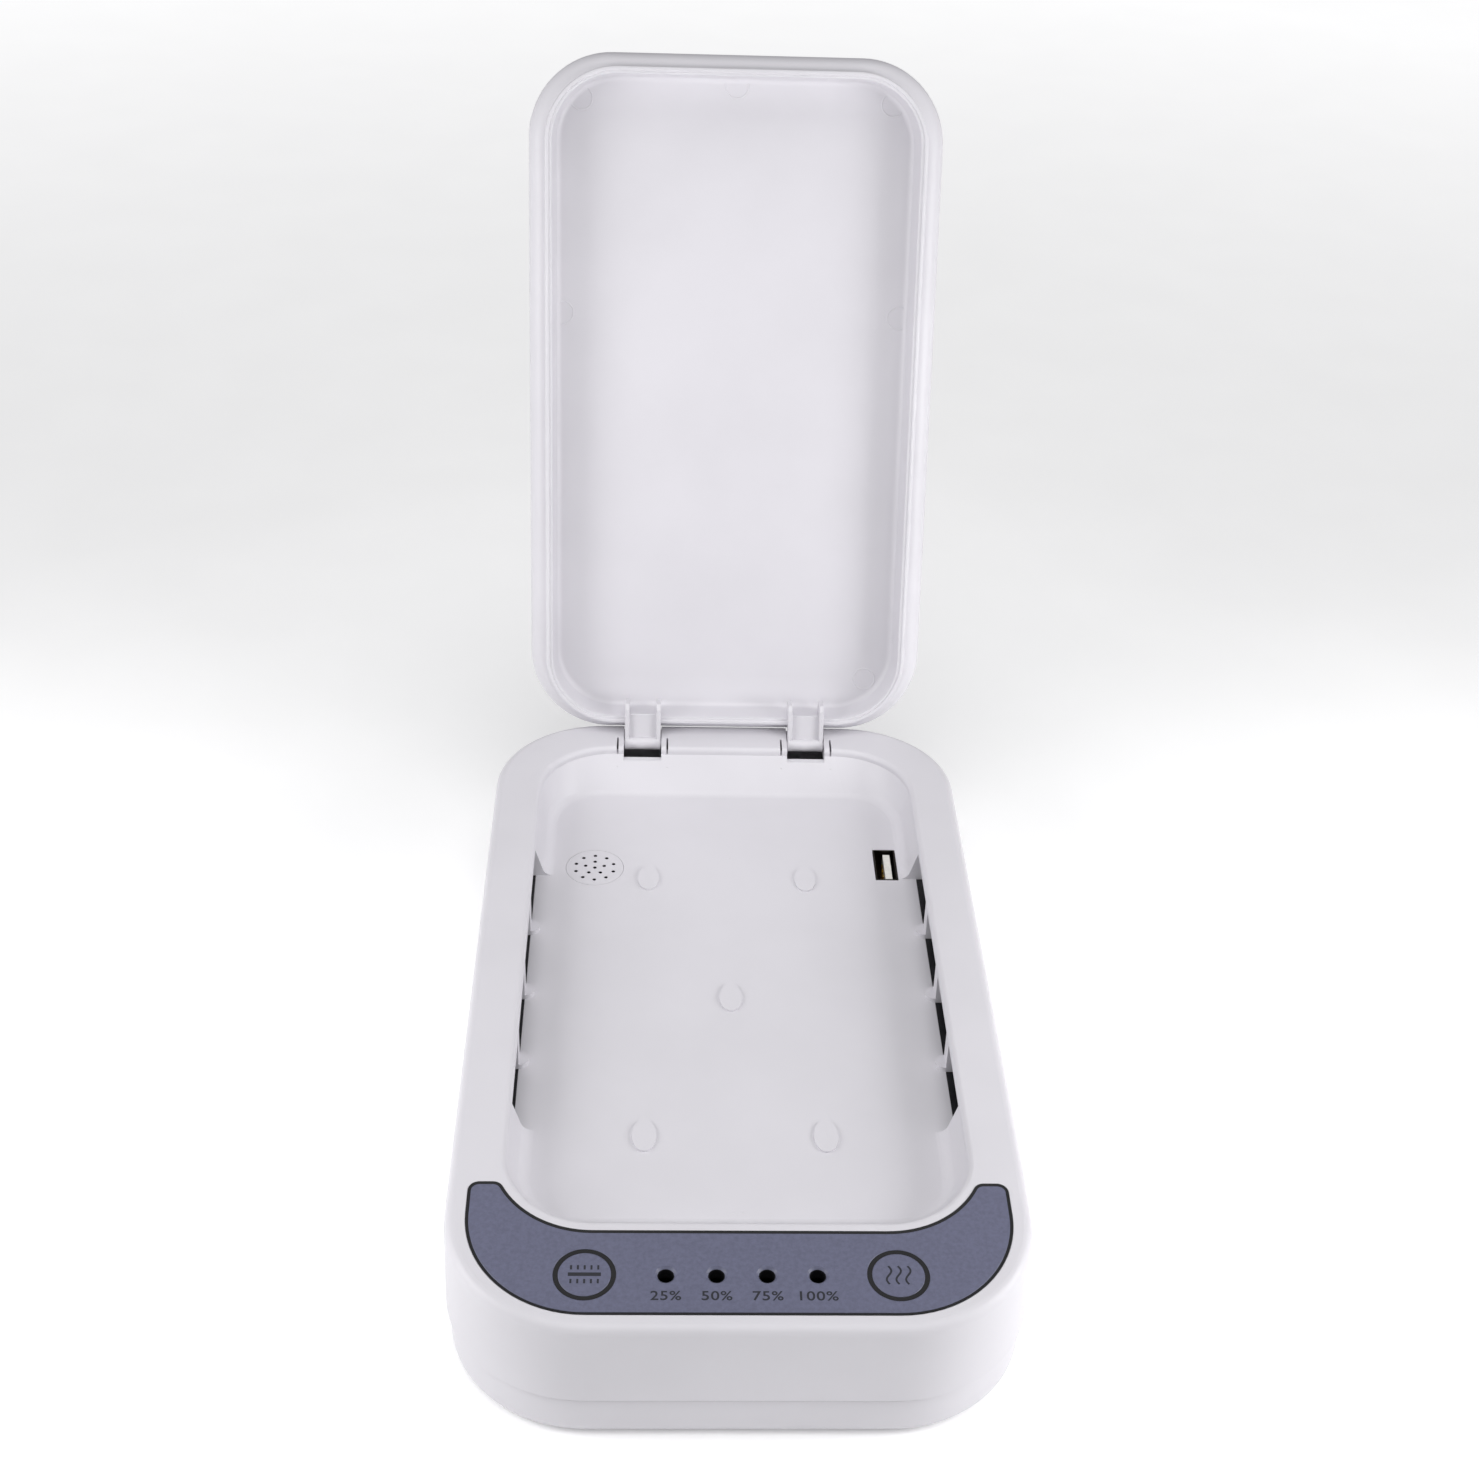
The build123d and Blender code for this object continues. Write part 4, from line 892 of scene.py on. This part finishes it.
# ---------------------------------------------------------------- finishes of the CAD nodes
class SanitizerFinishes(bpy.types.Operator):
    """Makes the materials and gives each carried-over node its own."""

    bl_idname = "sanitizer.finishes"
    bl_label = "Finishes"

    def execute(self, context):
        white = white_moulded_abs()
        grey = grey_textured_abs()
        # Black nylon for the switches, chip, plugs and plungers; the same black lines the indicator and scent holes
        # as painted shade.
        black = plain_finish("black_nylon_and_hole_shade", "#17171a", 0.45, 0.8)
        nickel = plain_finish("nickel_plated_steel", "#c9c4b8", 0.22, 3, 0.004, metallic=1.0)
        aluminium = plain_finish("black_anodised_sheet", "#141418", 0.38, 4, 0.01)
        board = plain_finish("green_solder_mask", "#14573a", 0.35, 2, 0.01)
        finish_nodes(white, "upper_housing", "lower_shell", "aroma_grille", "aroma_cup")
        finish_nodes(grey, "control_panel", "sterilize_button", "aroma_button")
        finish_nodes(black, "tact_switches", "controller_chip", "ribbon_plugs", "power_inlet_tongue")
        finish_nodes(black, "sterilize_plunger", "aroma_plunger")
        finish_nodes(nickel, "power_inlet_shell", "lamp_end_caps")
        finish_nodes(plain_finish("dark_nickel_plate", "#37342f", 0.3, 3, 0.004, metallic=1.0), "usb_shell")
        finish_nodes(aluminium, "reflector_left", "reflector_right")
        finish_nodes(board, "control_board", "main_board", "inverter_board")
        board_steel = plain_finish("zinc_plated_steel", "#a9abaf", 0.3, 1.5, 0.01, metallic=1.0)
        finish_nodes(board_steel, "board_screws")
        case_steel = plain_finish("zinc_plated_case_steel", "#a9abaf", 0.3, 1.5, 0.01, metallic=1.0)
        finish_nodes(case_steel, "case_screws")
        finish_nodes(plain_finish("white_insulator", "#e9e7e0", 0.35, 1.0), "usb_tongue")
        finish_nodes(plain_finish("gold_flash", "#d8b25a", 0.2, 1.0, 0.002, metallic=1.0), "usb_contacts")
        finish_nodes(plain_finish("smoked_led_epoxy", "#0b0b0d", 0.25, 2.0, 0.004), "status_leds")
        sleeve = plain_finish("capacitor_sleeve", "#2a2c44", 0.3, 2.0)
        finish_nodes(sleeve, "board_capacitors", "inverter_capacitors")
        finish_nodes(plain_finish("polyester_tape", "#d8b22a", 0.3, 3.0), "transformer_winding")
        finish_nodes(plain_finish("sintered_ferrite", "#26262a", 0.6, 0.6, 0.03), "transformer_core")
        finish_nodes(plain_finish("warm_ceramic", "#d9d6cf", 0.7, 0.8, 0.02), "aroma_heater")
        finish_nodes(plain_finish("pressed_felt", "#2b2926", 0.95, 0.5, 0.15, spread=0.15), "aroma_pad")
        finish_nodes(plain_finish("white_silicone", "#dedede", 0.6, 1.2, 0.02), "lamp_holders")
        finish_nodes(plain_finish("grey_ribbon_jacket", "#8f9299", 0.5, 1.0, 0.03), "ribbon_cable")
        finish_nodes(plain_finish("pale_foot_rubber", "#b9b9bb", 0.8, 0.5, 0.04), "rubber_feet")
        finish_nodes(quartz_glass(), "uv_lamp_left", "uv_lamp_right")
        # Black fill for the gaps round the buttons and the panel and under the casings' seam; round the panel and
        # at the seam it is painted shade.
        plain_finish("black_gap_fill", "#101013", 0.7, 0.6, 0.01)
        printed_ink()
        return {"FINISHED"}


# ---------------------------------------------------------------- stage
def aim(thing, target):
    """Turns a light to face a point."""
    thing.rotation_euler = (Vector(target) - thing.location).to_track_quat("-Z", "Y").to_euler()


def soft_light(name, place, target, size, power):
    """A square soft light that faces a point."""
    data = bpy.data.lights.new(name, "AREA")
    data.shape = "SQUARE"
    data.size = size
    data.energy = power
    light = bpy.data.objects.new(name, data)
    light.location = place
    aim(light, target)
    bpy.context.scene.collection.objects.link(light)
    return light


class SanitizerStage(bpy.types.Operator):
    """Sets the pale floor, the soft lights and the camera at the photograph's view."""

    bl_idname = "sanitizer.stage"
    bl_label = "Stage"

    def execute(self, context):
        studio = context.scene.sanitizer_studio
        reach = 3.0
        corners = np.array([[-reach, -reach, 0], [reach, -reach, 0], [reach, reach, 0], [-reach, reach, 0]])
        floor = new_piece("studio_floor", corners, np.array([[0, 1, 2, 3]]))
        floor.data.materials.append(studio_paper())

        world = bpy.data.worlds.new("studio_room")
        world.use_nodes = True
        background = world.node_tree.nodes["Background"]
        background.inputs["Color"].default_value = linear("#f7f7fa")
        background.inputs["Strength"].default_value = studio.sky
        context.scene.world = world
        context.scene.view_settings.view_transform = "Standard"
        ceiling = bpy.data.lights.new("ceiling_light", "SUN")
        ceiling.angle = radians(50)
        ceiling.energy = studio.ceiling_strength
        lamp = bpy.data.objects.new("ceiling_light", ceiling)
        lamp.location = (0, -0.26, 0.97)
        aim(lamp, (0, 0, 0))
        context.scene.collection.objects.link(lamp)
        middle = (0, 0.06, 0.08)
        soft_light("left_light", (-0.32, -0.09, 0.20), middle, 0.2, studio.left_power)
        soft_light("right_light", (0.32, -0.10, 0.17), middle, 0.2, studio.right_power)

        yaw, pitch, roll = studio.camera_yaw, studio.camera_pitch, studio.camera_roll
        forward = np.array([sin(yaw) * cos(pitch), cos(yaw) * cos(pitch), -sin(pitch)])
        level = np.array([cos(yaw), -sin(yaw), 0])
        upward = np.cross(level, forward)
        right = cos(roll) * level + sin(roll) * upward
        above = -sin(roll) * level + cos(roll) * upward
        data = bpy.data.cameras.new("photograph_view")
        data.sensor_width = 36
        data.lens = studio.camera_lens
        data.clip_start = 0.01
        camera = bpy.data.objects.new("photograph_view", data)
        place = Matrix(np.column_stack([right, above, -forward]).tolist()).to_4x4()
        place.translation = (studio.camera_x, studio.camera_y, studio.camera_z)
        camera.matrix_world = place
        context.scene.collection.objects.link(camera)
        context.scene.camera = camera
        return {"FINISHED"}


# ---------------------------------------------------------------- sidebar, registration and run
STEPS = (
    SanitizerFinishes,
    SanitizerLidShell,
    SanitizerLidArms,
    SanitizerLidMarks,
    SanitizerButtonGapRings,
    SanitizerHoleShadeSleeves,
    SanitizerNumerals,
    SanitizerButtonMarks,
    SanitizerPanelGapShade,
    SanitizerSeamShade,
    SanitizerScentShadeSleeves,
    SanitizerHingeWebs,
    SanitizerGateMarks,
    SanitizerStage,
)
GROUPS = {
    "sanitizer_lid": SanitizerLidSizes,
    "sanitizer_panel": SanitizerPanelSizes,
    "sanitizer_colours": SanitizerColours,
    "sanitizer_studio": SanitizerStudio,
}


class SanitizerPanel(bpy.types.Panel):
    """Lists the steps that dress the box."""

    bl_idname = "VIEW3D_PT_sanitizer"
    bl_label = "UV sanitizer box"
    bl_space_type = "VIEW_3D"
    bl_region_type = "UI"
    bl_category = "Sanitizer"

    def draw(self, context):
        for step in STEPS:
            self.layout.operator(step.bl_idname)
        for group in GROUPS:
            for key in getattr(context.scene, group).__annotations__:
                self.layout.prop(getattr(context.scene, group), key)


def register():
    """Registers the classes and the settings."""
    for cls in (*GROUPS.values(), *STEPS, SanitizerPanel):
        bpy.utils.register_class(cls)
    for key, cls in GROUPS.items():
        setattr(bpy.types.Scene, key, bpy.props.PointerProperty(type=cls))


def unregister():
    """Removes the classes and the settings."""
    for key in GROUPS:
        delattr(bpy.types.Scene, key)
    for cls in (SanitizerPanel, *STEPS, *GROUPS.values()):
        bpy.utils.unregister_class(cls)


def main():
    """Builds every piece and the stage."""
    register()
    for step in STEPS:
        group, name = step.bl_idname.split(".")
        getattr(getattr(bpy.ops, group), name)()


if __name__ == "__main__":
    main()
